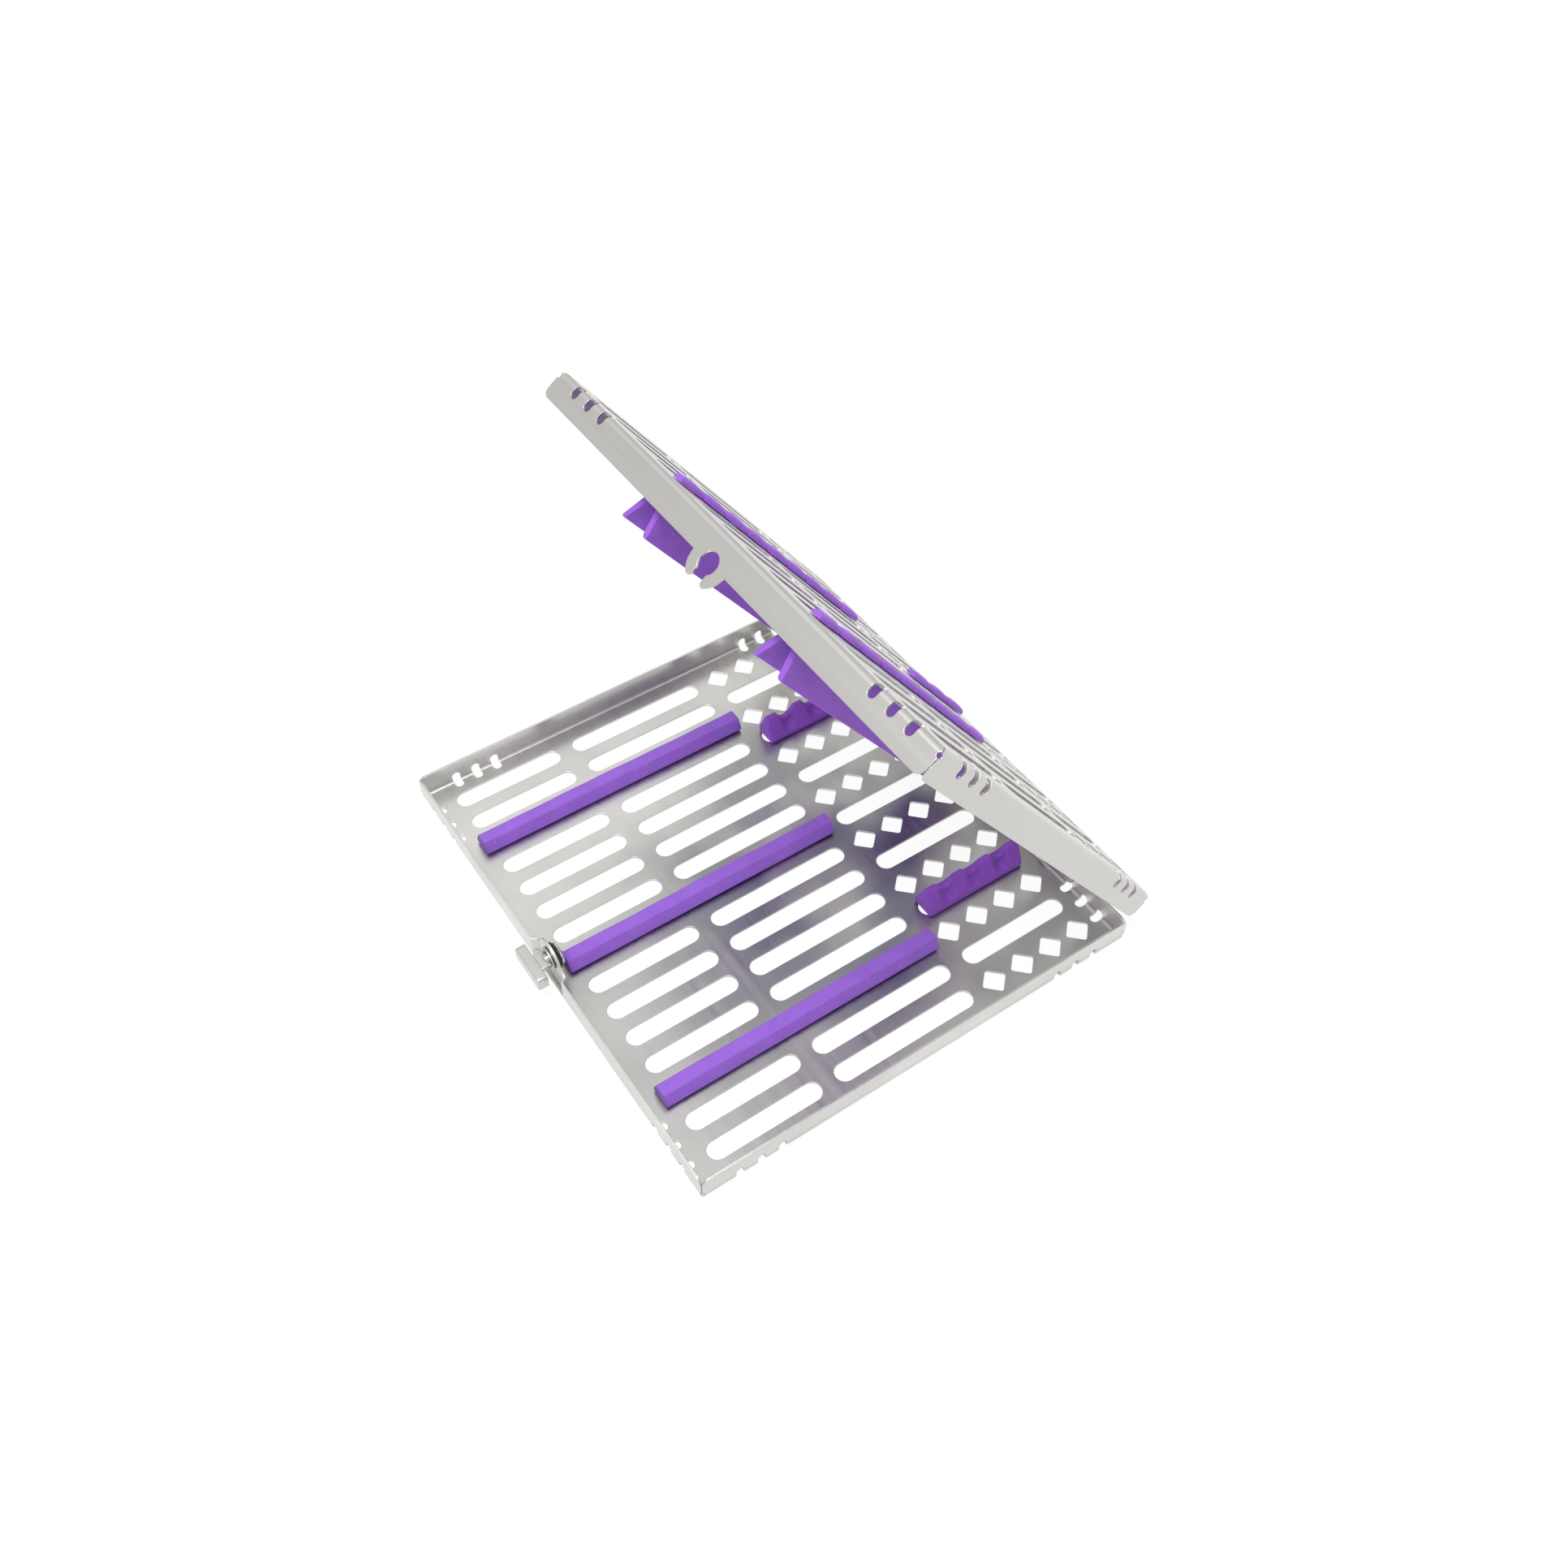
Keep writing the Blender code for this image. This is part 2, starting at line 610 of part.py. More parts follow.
def rail(name, row, finish):
    """Long rail with a flat top and sloping sides, held by nubs pushed through the floor."""
    x = row * HOLE_PITCH
    front, rear = rail_ends()
    low = SHEET + RAIL_LIFT
    shoulder = low + RAIL_LIFT
    right = ((x + RAIL_FOOT / 2, low), (x + RAIL_BASE / 2, shoulder),
             (x + RAIL_TOP / 2, low + RAIL_HEIGHT))
    left = tuple((2 * x - px, z) for px, z in right[::-1])
    body = prism(name, right + left, front, rear, "Y")
    nubs = []
    for y in nub_ys():
        ring = [(x + NUB_RADIUS * cos(a), y + NUB_RADIUS * sin(a))
                for a in np.arange(0, 2 * pi, pi / 6)]
        nubs.append(prism("nub", ring, SHEET - NUB_FIT * 2, low + RAIL_LIFT, "Z"))
    return add_object(name, joined(name, body, nubs, "UNION"), finish)


def notched_rest(name, row, finish):
    """Short gabled rest whose ridge dips between its peaks, with a tongue in the slot below."""
    x = row * HOLE_PITCH
    half = REAR_SLOT / 2 - REST_SHORT
    low = SHEET + RAIL_LIFT
    peak_pitch = 2 * half / (REST_PEAKS - 1 + 0.5)
    rings = []
    for y in np.linspace(-half, half, 29):
        phase = (y + half - peak_pitch / 4) / peak_pitch
        dip = 1 - abs(cos(pi * phase)) if 0 <= phase <= REST_PEAKS - 1 else 0
        top = low + REST_HEIGHT - REST_VALLEY * dip
        side = REST_WIDTH / 2 - 0.25 * REST_VALLEY * dip
        right = ((x + REST_WIDTH / 2, low), (x + side, low + REST_SIDE - 0.3 * REST_VALLEY * dip),
                 (x + REST_RIDGE / 2, top))
        left = tuple((2 * x - px, z) for px, z in right[::-1])
        rings.append([(px, REAR_SLOT_Y + y, z) for px, z in right + left])
    body = loft(name, rings)
    tongue = stadium((x, REAR_SLOT_Y), REAR_SLOT - 4 * REST_SHORT, SLOT_WIDTH - 4 * GAP)
    foot = prism("tongue", [tuple(point) for point in tongue], SHEET - NUB_FIT * 2, low + RAIL_LIFT, "Z")
    return add_object(name, joined(name, body, [foot], "UNION"), finish)


def lid_strip(name, row, short, finish, parent):
    """Hold-down strip: a bar of beads outside the lid, necks through it and two flaps inside."""
    x = strip_x(row)
    front, rear = strip_span(short)
    outside = SHUT_HEIGHT + GAP
    within = SHUT_HEIGHT - SHEET - GAP
    tip = SHEET + FLAP_CLEARANCE
    beads = max(1, round((rear - front) / BEAD_PITCH))
    pitch = (rear - front) / beads
    rings = []
    for step in range(beads * 4 + 1):
        y = front + step * pitch / 4
        swell = 0.78 + 0.22 * abs(sin(pi * step / 4))
        half, high = BEAD_WIDTH / 2 * swell, BEAD_HEIGHT * swell
        rings.append([(x + half, y, outside), (x + half * 0.8, y, outside + high * 0.7),
                      (x + half * 0.3, y, outside + high), (x - half * 0.3, y, outside + high),
                      (x - half * 0.8, y, outside + high * 0.7), (x - half, y, outside)])
    bar = loft(name, rings)
    root = within - 1.5 * FLAP_THICKNESS
    lean = FLAP_THICKNESS / 2 * sqrt(1 + (FLAP_SPREAD / (within - tip)) ** 2)
    profile = ((x + NECK_WIDTH, within), (x + FLAP_SPREAD + lean, tip), (x + FLAP_SPREAD - lean, tip),
               (x, root), (x - FLAP_SPREAD + lean, tip), (x - FLAP_SPREAD - lean, tip),
               (x - NECK_WIDTH, within))
    flaps = prism("flaps", profile, front, rear, "Y")
    parts = [flaps]
    for y in neck_ys(short):
        ring = [tuple(point) for point in stadium((x, y), NECK_LENGTH, NECK_WIDTH)]
        parts.append(prism("neck", ring, within - GAP, outside + GAP, "Z"))
    mesh = joined(name, bar, parts[1:] + parts[:1], "UNION")
    return add_object(name, mesh, finish, parent)


# ---- Latch

TAB_FRONT = -HALF_D + SETBACK
TAB_REAR = TAB_FRONT + SHEET
WASHER_FRONT = TAB_FRONT - GAP - WASHER_THICKNESS
HEAD_REAR = WASHER_FRONT - SHANK_LENGTH
DISC_FRONT = TAB_REAR + GAP
CAP_FRONT = DISC_FRONT + FRICTION_DISC_THICKNESS + GAP


def latch_knob(finish, parent):
    """Flat head, a flat shank that the clip's mouth slips over, and a round spindle."""
    half_w, half_h = HEAD_WIDTH / 2, HEAD_HEIGHT / 2
    round_end = HEAD_BEVEL * 2
    corner = [(half_w - round_end, half_h - round_end), (round_end - half_w, half_h - round_end),
              (round_end - half_w, round_end - half_h), (half_w - round_end, round_end - half_h)]
    outline = np.vstack([arc(centre, round_end, turn * pi / 2, (turn + 1) * pi / 2)
                         for turn, centre in enumerate(corner)])
    front = HEAD_REAR - HEAD_DEPTH
    rings = []
    for y, shrink in ((front, HEAD_BEVEL), (front + HEAD_BEVEL / 3, HEAD_BEVEL / 3),
                      (front + HEAD_BEVEL, 0), (HEAD_REAR - HEAD_BEVEL / 2, 0),
                      (HEAD_REAR, HEAD_BEVEL / 2)):
        scale_x, scale_z = 1 - shrink / half_w, 1 - shrink / half_h
        rings.append([(px * scale_x, y, LATCH_Z + pz * scale_z) for px, pz in outline])
    head = loft("latch_knob", rings)
    half = SHANK_WIDTH / 2
    thick = SHANK_THICKNESS / 2
    profile = ((half, LATCH_Z - thick), (half, LATCH_Z + thick), (-half, LATCH_Z + thick),
               (-half, LATCH_Z - thick))
    shank = prism("shank", profile, HEAD_REAR - HEAD_BEVEL, WASHER_FRONT - GAP, "Y")
    ring = [(px, pz) for px, _, pz in around_latch(SPINDLE_RADIUS, 0, 16)]
    start = WASHER_FRONT - GAP - SPINDLE_RADIUS / 2
    spindle = prism("spindle", ring, start, CAP_FRONT + CAP_HEIGHT / 2, "Y")
    mesh = joined("latch_knob", head, [shank, spindle], "UNION")
    return add_object("latch_knob", mesh, finish, parent)


def latch_washer(finish):
    mesh = washer_mesh("latch_washer", SPINDLE_RADIUS + GAP, WASHER_RADIUS, WASHER_FRONT,
                       WASHER_FRONT + WASHER_THICKNESS, 24)
    return add_object("latch_washer", mesh, finish)


def latch_friction_disc(finish):
    mesh = washer_mesh("latch_friction_disc", SPINDLE_RADIUS + GAP, FRICTION_DISC_RADIUS, DISC_FRONT,
                       DISC_FRONT + FRICTION_DISC_THICKNESS, 24)
    return add_object("latch_friction_disc", mesh, finish)


def latch_cap(finish, parent):
    """Domed cap riveted over the spindle's inner end."""
    pocket = SPINDLE_RADIUS + GAP
    outline = [(pocket, CAP_FRONT), (CAP_RADIUS, CAP_FRONT), (CAP_RADIUS, CAP_FRONT + CAP_HEIGHT * 0.4)]
    for turn in (30, 60, 80):
        outline.append((CAP_RADIUS * cos(radians(turn)),
                        CAP_FRONT + CAP_HEIGHT * (0.4 + 0.6 * sin(radians(turn)))))
    steps = 24
    shape = bmesh.new()
    rings = [[shape.verts.new(point) for point in around_latch(r, y, steps)] for r, y in outline]
    deep = CAP_FRONT + CAP_HEIGHT / 2 + GAP
    inner = [shape.verts.new(point) for point in around_latch(pocket, deep, steps)]
    for first, second in zip([inner] + rings, rings):
        for i in range(steps):
            j = (i + 1) % steps
            shape.faces.new((first[i], second[i], second[j], first[j]))
    shape.faces.new(rings[-1])
    shape.faces.new(inner)
    return add_object("latch_cap", mesh_from_bmesh("latch_cap", shape), finish, parent)


# ---- Hinges

def leaf_profile(up):
    """Leaf and rolled knuckle as one bent strip, in (y, z); up is 1 for the lower pan's leaf."""
    edge = HINGE_Z - up * (HINGE_Z - LEAF_EDGE)
    if up < 0:
        edge = SHUT_HEIGHT - LEAF_EDGE
    half = HINGE_SHEET / 2
    turns = np.linspace(pi, -CURL_END, 14)
    roll = []
    for radius, angles in ((KNUCKLE_CENTRELINE + half, turns), (KNUCKLE_CENTRELINE - half, turns[::-1])):
        roll += [(HINGE_Y + radius * cos(t), HINGE_Z + up * radius * sin(t)) for t in angles]
    return [(LEAF_Y - half, edge)] + roll + [(LEAF_Y + half, edge)]


def box_mesh(name, low, high):
    profile = ((low[0], low[1]), (high[0], low[1]), (high[0], high[1]), (low[0], high[1]))
    return prism(name, profile, low[2], high[2], "Z")


def hinge_leaf(name, middle, up, finish, parent=None):
    """The lower leaf keeps its two end knuckles, the upper leaf keeps the middle one."""
    half = HINGE_LENGTH / 2
    inner = MIDDLE_KNUCKLE / 2
    body = prism(name, leaf_profile(up), middle - half, middle + half, "X")
    clear = KNUCKLE_RADIUS + KNUCKLE_GAP
    low_z = HINGE_Z - clear if up > 0 else HINGE_Z - 2 * clear
    high_z = HINGE_Z + 2 * clear if up > 0 else HINGE_Z + clear
    if up > 0:
        spans = ((middle - inner - KNUCKLE_GAP, middle + inner + KNUCKLE_GAP),)
    else:
        spans = ((middle - 2 * half, middle - inner), (middle + inner, middle + 2 * half))
    tools = [box_mesh("cut", (start, HALF_D, low_z), (end, HINGE_Y + 2 * clear, high_z))
             for start, end in spans]
    hole_z = RIVET_RISE if up > 0 else SHUT_HEIGHT - RIVET_RISE
    for hand in (-1, 1):
        ring = [(middle + hand * RIVET_SPACING / 2 + (RIVET_SHANK + RIVET_FIT) * cos(a),
                 hole_z + (RIVET_SHANK + RIVET_FIT) * sin(a)) for a in np.arange(0, 2 * pi, pi / 6)]
        tools.append(prism("hole", ring, HALF_D, LEAF_Y + HINGE_SHEET, "Y"))
    return add_object(name, joined(name, body, tools, "DIFFERENCE"), finish, parent)


def hinge_pin(name, middle, finish):
    """Plain pin with a low head at each end."""
    half = HINGE_LENGTH / 2 + GAP
    rings = []
    outline = ((PIN_HEAD * 0.6, -half - PIN_HEAD_LENGTH), (PIN_HEAD, -half - PIN_HEAD_LENGTH / 2),
               (PIN_HEAD, -half), (HINGE_PIN, -half), (HINGE_PIN, half), (PIN_HEAD, half),
               (PIN_HEAD, half + PIN_HEAD_LENGTH / 2), (PIN_HEAD * 0.6, half + PIN_HEAD_LENGTH))
    for radius, along in outline:
        rings.append([(middle + along, HINGE_Y + radius * cos(a), HINGE_Z + radius * sin(a))
                      for a in np.arange(0, 2 * pi, pi / 8)])
    return add_object(name, loft(name, rings), finish)


def rivet(name, x, z, finish, parent=None):
    """Rivet through the leaf and the rear wall, a low dome outside and a flat head inside."""
    outer = LEAF_Y + HINGE_SHEET / 2 + GAP
    inner = HALF_D - SHEET - GAP
    outline = ((RIVET_HEAD * 0.5, outer + RIVET_HEAD_HEIGHT),
               (RIVET_HEAD * 0.85, outer + RIVET_HEAD_HEIGHT * 0.7), (RIVET_HEAD, outer),
               (RIVET_SHANK, outer), (RIVET_SHANK, inner), (RIVET_HEAD, inner),
               (RIVET_HEAD * 0.9, inner - RIVET_HEAD_HEIGHT))
    rings = [[(x + radius * cos(a), y, z + radius * sin(a)) for a in np.arange(0, 2 * pi, pi / 8)]
             for radius, y in outline]
    return add_object(name, loft(name, rings), finish, parent)


def build():
    clear_scene()
    steel = material("brushed_steel", (0.62, 0.62, 0.61), 0.32, 1.0)
    bright = material("polished_steel", (0.72, 0.72, 0.71), 0.18, 1.0)
    silicone = material("purple_silicone", (0.30, 0.08, 0.62), 0.55, 0.0)
    rubber = material("black_rubber", (0.02, 0.018, 0.016), 0.6, 0.0)
    lid_axis = axis_empty("lid_hinge_axis", (0, HINGE_Y, HINGE_Z))
    latch_axis = axis_empty("latch_axis", (0, HEAD_REAR, LATCH_Z))

    lower_pan(steel)
    lid_pan(steel, lid_axis)
    for name, row in zip(("rail_left", "rail_centre", "rail_right"), RAIL_ROWS):
        rail(name, row, silicone)
    for name, row in zip(("notched_rest_left", "notched_rest_right"), REST_ROWS):
        notched_rest(name, row, silicone)
    for name, row in zip(("lid_strip_left", "lid_strip_right"), STRIP_ROWS):
        lid_strip(name, row, False, silicone, lid_axis)
    lid_strip("lid_strip_rear", SHORT_STRIP_ROWS[0], True, silicone, lid_axis)

    latch_knob(bright, latch_axis)
    latch_cap(bright, latch_axis)
    latch_washer(bright)
    latch_friction_disc(rubber)

    for hand, side in (("left", -1), ("right", 1)):
        middle = side * (HALF_W - HINGE_INSET)
        hinge_leaf(f"hinge_leaf_base_{hand}", middle, 1, bright)
        hinge_leaf(f"hinge_leaf_lid_{hand}", middle, -1, bright, lid_axis)
        hinge_pin(f"hinge_pin_{hand}", middle, bright)
        for index, turn in ((1, -1), (2, 1)):
            x = middle + turn * RIVET_SPACING / 2
            rivet(f"rivet_base_{hand}_{index}", x, RIVET_RISE, bright)
            rivet(f"rivet_lid_{hand}_{index}", x, SHUT_HEIGHT - RIVET_RISE, bright, lid_axis)

    lid_axis.rotation_euler = (-radians(OPEN_ANGLE), 0, 0)
    bpy.context.view_layer.update()


build()
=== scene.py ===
from math import acos, atan2, cos, pi, radians, sin, sqrt

import bpy
import json
import numpy as np
from mathutils.geometry import delaunay_2d_cdt
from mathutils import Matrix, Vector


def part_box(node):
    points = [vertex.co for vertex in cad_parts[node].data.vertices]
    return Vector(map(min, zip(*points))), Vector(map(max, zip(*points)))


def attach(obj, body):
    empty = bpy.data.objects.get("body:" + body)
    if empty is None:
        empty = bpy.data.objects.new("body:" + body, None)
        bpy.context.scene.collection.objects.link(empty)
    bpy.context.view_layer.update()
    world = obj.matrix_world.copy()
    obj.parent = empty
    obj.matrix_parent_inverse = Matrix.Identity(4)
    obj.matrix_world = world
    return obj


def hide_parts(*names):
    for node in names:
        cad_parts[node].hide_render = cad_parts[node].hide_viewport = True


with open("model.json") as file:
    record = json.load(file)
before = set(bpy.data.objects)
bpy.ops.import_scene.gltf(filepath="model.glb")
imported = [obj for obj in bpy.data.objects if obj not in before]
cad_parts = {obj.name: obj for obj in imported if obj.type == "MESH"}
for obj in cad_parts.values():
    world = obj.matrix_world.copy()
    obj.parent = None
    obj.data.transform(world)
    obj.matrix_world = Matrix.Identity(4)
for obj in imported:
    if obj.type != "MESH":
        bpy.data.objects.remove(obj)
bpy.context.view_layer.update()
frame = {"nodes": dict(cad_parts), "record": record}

MM = 0.001
nodes = frame["nodes"]
scene = bpy.context.scene


# ---- Table, light and camera
# The tray stands on a plain white table. The camera sees plain white past the table, while the steel
# mirrors a room that brightens upwards. One soft lamp hangs above and one at the right front.

scene.view_settings.view_transform = "Standard"
scene.view_settings.look = "None"

camera_data = bpy.data.cameras.new("camera")
camera = bpy.data.objects.new("camera", camera_data)
camera_data.lens = 35.61
camera_data.sensor_width = 36.0
camera_data.clip_start = 0.01
camera.location = (0.29542, -0.19020, 0.45436)
camera.rotation_euler = (radians(90 - 49.32), 0.0, radians(55.74))
scene.collection.objects.link(camera)
scene.camera = camera

table_mesh = bpy.data.meshes.new("table")
table_mesh.from_pydata([(-9, -9, 0), (9, -9, 0), (9, 9, 0), (-9, 9, 0)], [], [(0, 1, 2, 3)])
table = bpy.data.objects.new("table", table_mesh)
scene.collection.objects.link(table)
table_finish = bpy.data.materials.new("white_table")
table_finish.use_nodes = True
shader = table_finish.node_tree.nodes["Principled BSDF"]
shader.inputs["Base Color"].default_value = (0.14, 0.14, 0.14, 1)
shader.inputs["Roughness"].default_value = 0.75
shader.inputs["Specular IOR Level"].default_value = 0.2
shader.inputs["Emission Color"].default_value = (1, 1, 1, 1)
shader.inputs["Emission Strength"].default_value = 0.86
table_mesh.materials.append(table_finish)

room = bpy.data.worlds.new("white_room")
scene.world = room
room.use_nodes = True
sky = room.node_tree
background = sky.nodes["Background"]
background.inputs["Strength"].default_value = 1.12
direction = sky.nodes.new("ShaderNodeTexCoord")
split = sky.nodes.new("ShaderNodeSeparateXYZ")
ramp = sky.nodes.new("ShaderNodeValToRGB")
ramp.color_ramp.elements[0].color = (0.66, 0.66, 0.665, 1)
ramp.color_ramp.elements[1].color = (0.86, 0.86, 0.87, 1)
for height, tone in ((0.35, 0.72), (0.62, 0.76), (0.76, 1.0)):
    ramp.color_ramp.elements.new(height).color = (tone, tone, tone * 0.99, 1)
sky.links.new(direction.outputs["Generated"], split.inputs[0])
sky.links.new(split.outputs["Z"], ramp.inputs["Fac"])
seen = sky.nodes.new("ShaderNodeMix")
seen.data_type = "RGBA"
seen.inputs["B"].default_value = (1, 1, 1, 1)
sky.links.new(sky.nodes.new("ShaderNodeLightPath").outputs["Is Camera Ray"], seen.inputs["Factor"])
sky.links.new(ramp.outputs["Color"], seen.inputs["A"])
sky.links.new(seen.outputs["Result"], background.inputs["Color"])


def lamp(name, place, aim, size, watts):
    """A square area lamp at a place, turned to face a point."""
    data = bpy.data.lights.new(name, "AREA")
    data.size, data.energy = size, watts
    item = bpy.data.objects.new(name, data)
    item.location = place
    away = np.array(place) - np.array(aim)
    item.rotation_euler = (atan2(np.hypot(away[0], away[1]), away[2]), 0, atan2(away[0], -away[1]))
    scene.collection.objects.link(item)
    return item


lamp("lamp_over", (0.10, -0.30, 1.25), (0, 0, 0), 0.6, 10.0)
lamp("lamp_side", (1.05, -0.75, 0.75), (0, 0, 0.03), 0.6, 1.5)


# ---- Lower pan
# One blank of brushed stainless sheet, punched with long slots and square windows, then folded up
# along four sides. Short slots run over the folds, and a round tab for the latch rises from the rim.

tray_low, tray_high = (np.array(corner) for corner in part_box("base_tray"))
SHEET = 0.9 * MM
BEND = 1.3 * MM                # inside radius of the folds
EDGE = 0.14 * MM               # rounding that tumbling leaves on every cut edge
PAN_HEIGHT = 10.3 * MM
SEAM = 0.22 * MM               # half the gap between two walls at a corner
RELIEF = 0.85 * MM             # radius of the half holes in a seam
RELIEF_DROP = 2.9 * MM         # from the floor's edge to their middle
RIM_CORNER = 2.6 * MM
PITCH = 12.7 * MM
SLOT = 7.3 * MM
VENT_WIDTH, VENT_STEP = 3.2 * MM, 8.15 * MM
VENT_IN = 2.4 * MM             # reach of the short slots over the folds, in from the floor's edge
VENT_UP, VENT_UP_REAR = 5.3 * MM, 4.1 * MM
HINGE_IN, RIVET_APART, RIVET_UP = 36 * MM, 7.5 * MM, 5.2 * MM
PRESS_HALF, PRESS_SIDE = 9.6, 1.8       # millimetres: the flat half of the press, and its slope
PRESS_LOW, PRESS_RISE = 2.3, 1.4        # millimetres: where it starts, and its slope upwards
half_w, half_d = tray_high[0], -tray_low[1]
floor_x, floor_y = half_w - BEND - SHEET, half_d - BEND - SHEET
bend_middle = BEND + SHEET / 2
bend_length = bend_middle * pi / 2
wall_length = bend_length + PAN_HEIGHT - BEND - SHEET
front_slots = (-half_d + 9.5 * MM, -half_d + 53.6 * MM)
middle_slots = (-half_d + 59.8 * MM, half_d - 59.8 * MM)
rear_slots = (half_d - 52.7 * MM, half_d - 8.4 * MM)
LATCH_ABOVE = 0.4 * MM
LATCH_Z = PAN_HEIGHT + LATCH_ABOVE
# For each wall from the rear one on: right angles turned, half its length, and its distance out.
WALLS = ((0, floor_x, floor_y), (1, floor_y, floor_x), (2, floor_x, floor_y), (3, floor_y, floor_x))


def arc(centre, radius, start, end, step=radians(11.5)):
    """Points at the centre plus the radius times (cos t, sin t), t running from start to end."""
    count = max(1, int(np.ceil(abs(end - start) / step - 1e-6)))
    t = np.linspace(start, end, count + 1)
    return np.column_stack((centre[0] + radius * np.cos(t), centre[1] + radius * np.sin(t)))


def disc(x, y, radius):
    """Circle as 24 points, one each 15 degrees."""
    return arc((x, y), radius, 0, 2 * pi, radians(15))[:-1]


def slot(x, low, high, width):
    """Slot along Y: two half circles joined by straight sides."""
    r = width / 2
    return np.vstack((arc((x, high - r), r, 0, pi), arc((x, low + r), r, pi, 2 * pi)))


def window(x, y):
    """Square standing on its corner, with its corners rounded."""
    reach, r = 7.3 * MM / sqrt(2), 0.9 * MM
    inner = reach - r * sqrt(2)
    return np.vstack([arc((x + inner * cos(a), y + inner * sin(a)), r, a - pi / 4, a + pi / 4)
                      for a in np.arange(4) * pi / 2])


def quarter(points, turns):
    """Turn flat points by right angles, each of which makes (x, y) into (-y, x)."""
    for _ in range(turns):
        points = np.column_stack((-points[:, 1], points[:, 0]))
    return points


def blank_outline(rim_feature):
    """Four walls in turn: foot along the seam, rounded shoulder, rim, and back down."""
    edges = []
    for turns, across, out in WALLS:
        up = np.linspace(0, bend_length, 7)
        foot = np.column_stack((across + BEND * np.sin(up / bend_middle) - SEAM, up))
        rim = across + BEND - SEAM
        shoulder = arc((rim - RIM_CORNER, wall_length - RIM_CORNER), RIM_CORNER, 0, pi / 2)
        right = np.vstack((foot, shoulder))
        parts = [right, right[::-1] * (-1, 1)]
        if turns == 2:
            parts.insert(1, rim_feature + (0, wall_length))
        edges.append(quarter(np.vstack(parts) + (0, out), turns))
    return np.vstack(edges)


def shared_holes(skip_long, skip_short):
    """Slot columns, square windows in every other rear row, fold slots, reliefs and rivet holes."""
    holes = []
    for row in range(-7, 8):
        x = row * PITCH
        if row not in skip_long:
            holes += [slot(x, *front_slots, SLOT), slot(x, *middle_slots, SLOT)]
        if row % 2:
            first = sum(rear_slots) / 2 - 1.5 * PITCH
            holes += [window(x, first + k * PITCH) for k in range(4)]
        elif row not in skip_short:
            holes.append(slot(x, *rear_slots, SLOT))
    for turns, _, out in WALLS:
        first = half_d - 14.6 * MM if turns % 2 else half_w - 12 * MM
        up = VENT_UP if turns else VENT_UP_REAR
        for k in range(3):
            for side in (-1, 1):
                vent = slot(side * (first - k * VENT_STEP), out - VENT_IN, out + up, VENT_WIDTH)
                holes.append(quarter(vent, turns))
    for over, up in ((BEND - SEAM, RELIEF_DROP), (RELIEF_DROP, BEND - SEAM)):
        holes += [disc(x * (floor_x + over), y * (floor_y + up), RELIEF)
                  for x in (-1, 1) for y in (-1, 1)]
    rise = floor_y + bend_length + RIVET_UP - BEND - SHEET
    holes += [disc(side * (half_w - HINGE_IN) + hand * RIVET_APART, rise, 1.3 * MM)
              for side in (-1, 1) for hand in (-1, 1)]
    return holes


def ease(t):
    """Smooth step: t squared times (3 - 2 t), with t held between 0 and 1."""
    t = np.clip(t, 0, 1)
    return t * t * (3 - 2 * t)


def fold(flat, depth, press):
    """Place of a flat point: level on the floor; past the floor's edge it turns by the distance over
    the bend's middle radius, up to a right angle, then climbs straight. Depth moves it from the
    inside face to the outside. Near a wall's end the outside runs on, so that two walls mitre, and
    the front wall is pressed back around the latch.
    """
    x, y = flat[:, 0], flat[:, 1]
    past_x, past_y = np.abs(x) - floor_x, np.abs(y) - floor_y
    side = past_x > past_y
    past = np.maximum(np.maximum(past_x, past_y), 0)
    turn = np.minimum(past / bend_middle, pi / 2)
    out = (BEND + depth) * np.sin(turn)
    height = BEND + SHEET - (BEND + depth) * np.cos(turn) + np.maximum(past - bend_length, 0)
    beside = np.where(side, past_y, past_x)
    share = np.clip((beside + 3 * BEND) / (3 * BEND + BEND * np.sin(turn)), 0, 1)
    mitre = depth * np.sin(turn) * share
    level = past <= 0
    fx = np.where(side, np.sign(x) * (floor_x + out), x + np.sign(x) * mitre)
    fy = np.where(side, y + np.sign(y) * mitre, np.sign(y) * (floor_y + out))
    fx, fy = np.where(level, x, fx), np.where(level, y, fy)
    across = ease(((PRESS_HALF + PRESS_SIDE) * MM - np.abs(x)) / (PRESS_SIDE * MM))
    upward = ease((height - PRESS_LOW * MM) / (PRESS_RISE * MM))
    fy = fy + np.where((y < 0) & ~side & ~level, press * across * upward, 0)
    return np.column_stack((fx, fy, height))


def corner_normals(points, before, after):
    """Mitred normal to the right of a closed path, from the points before and after each point."""
    one, two = points - before, after - points
    one /= np.linalg.norm(one, axis=1)[:, None]
    two /= np.linalg.norm(two, axis=1)[:, None]
    both = one + two
    right = np.column_stack((both[:, 1], -both[:, 0]))
    right /= np.linalg.norm(right, axis=1)[:, None]
    lean = right[:, 0] * one[:, 1] - right[:, 1] * one[:, 0]
    return right / np.maximum(np.abs(lean), 0.5)[:, None]


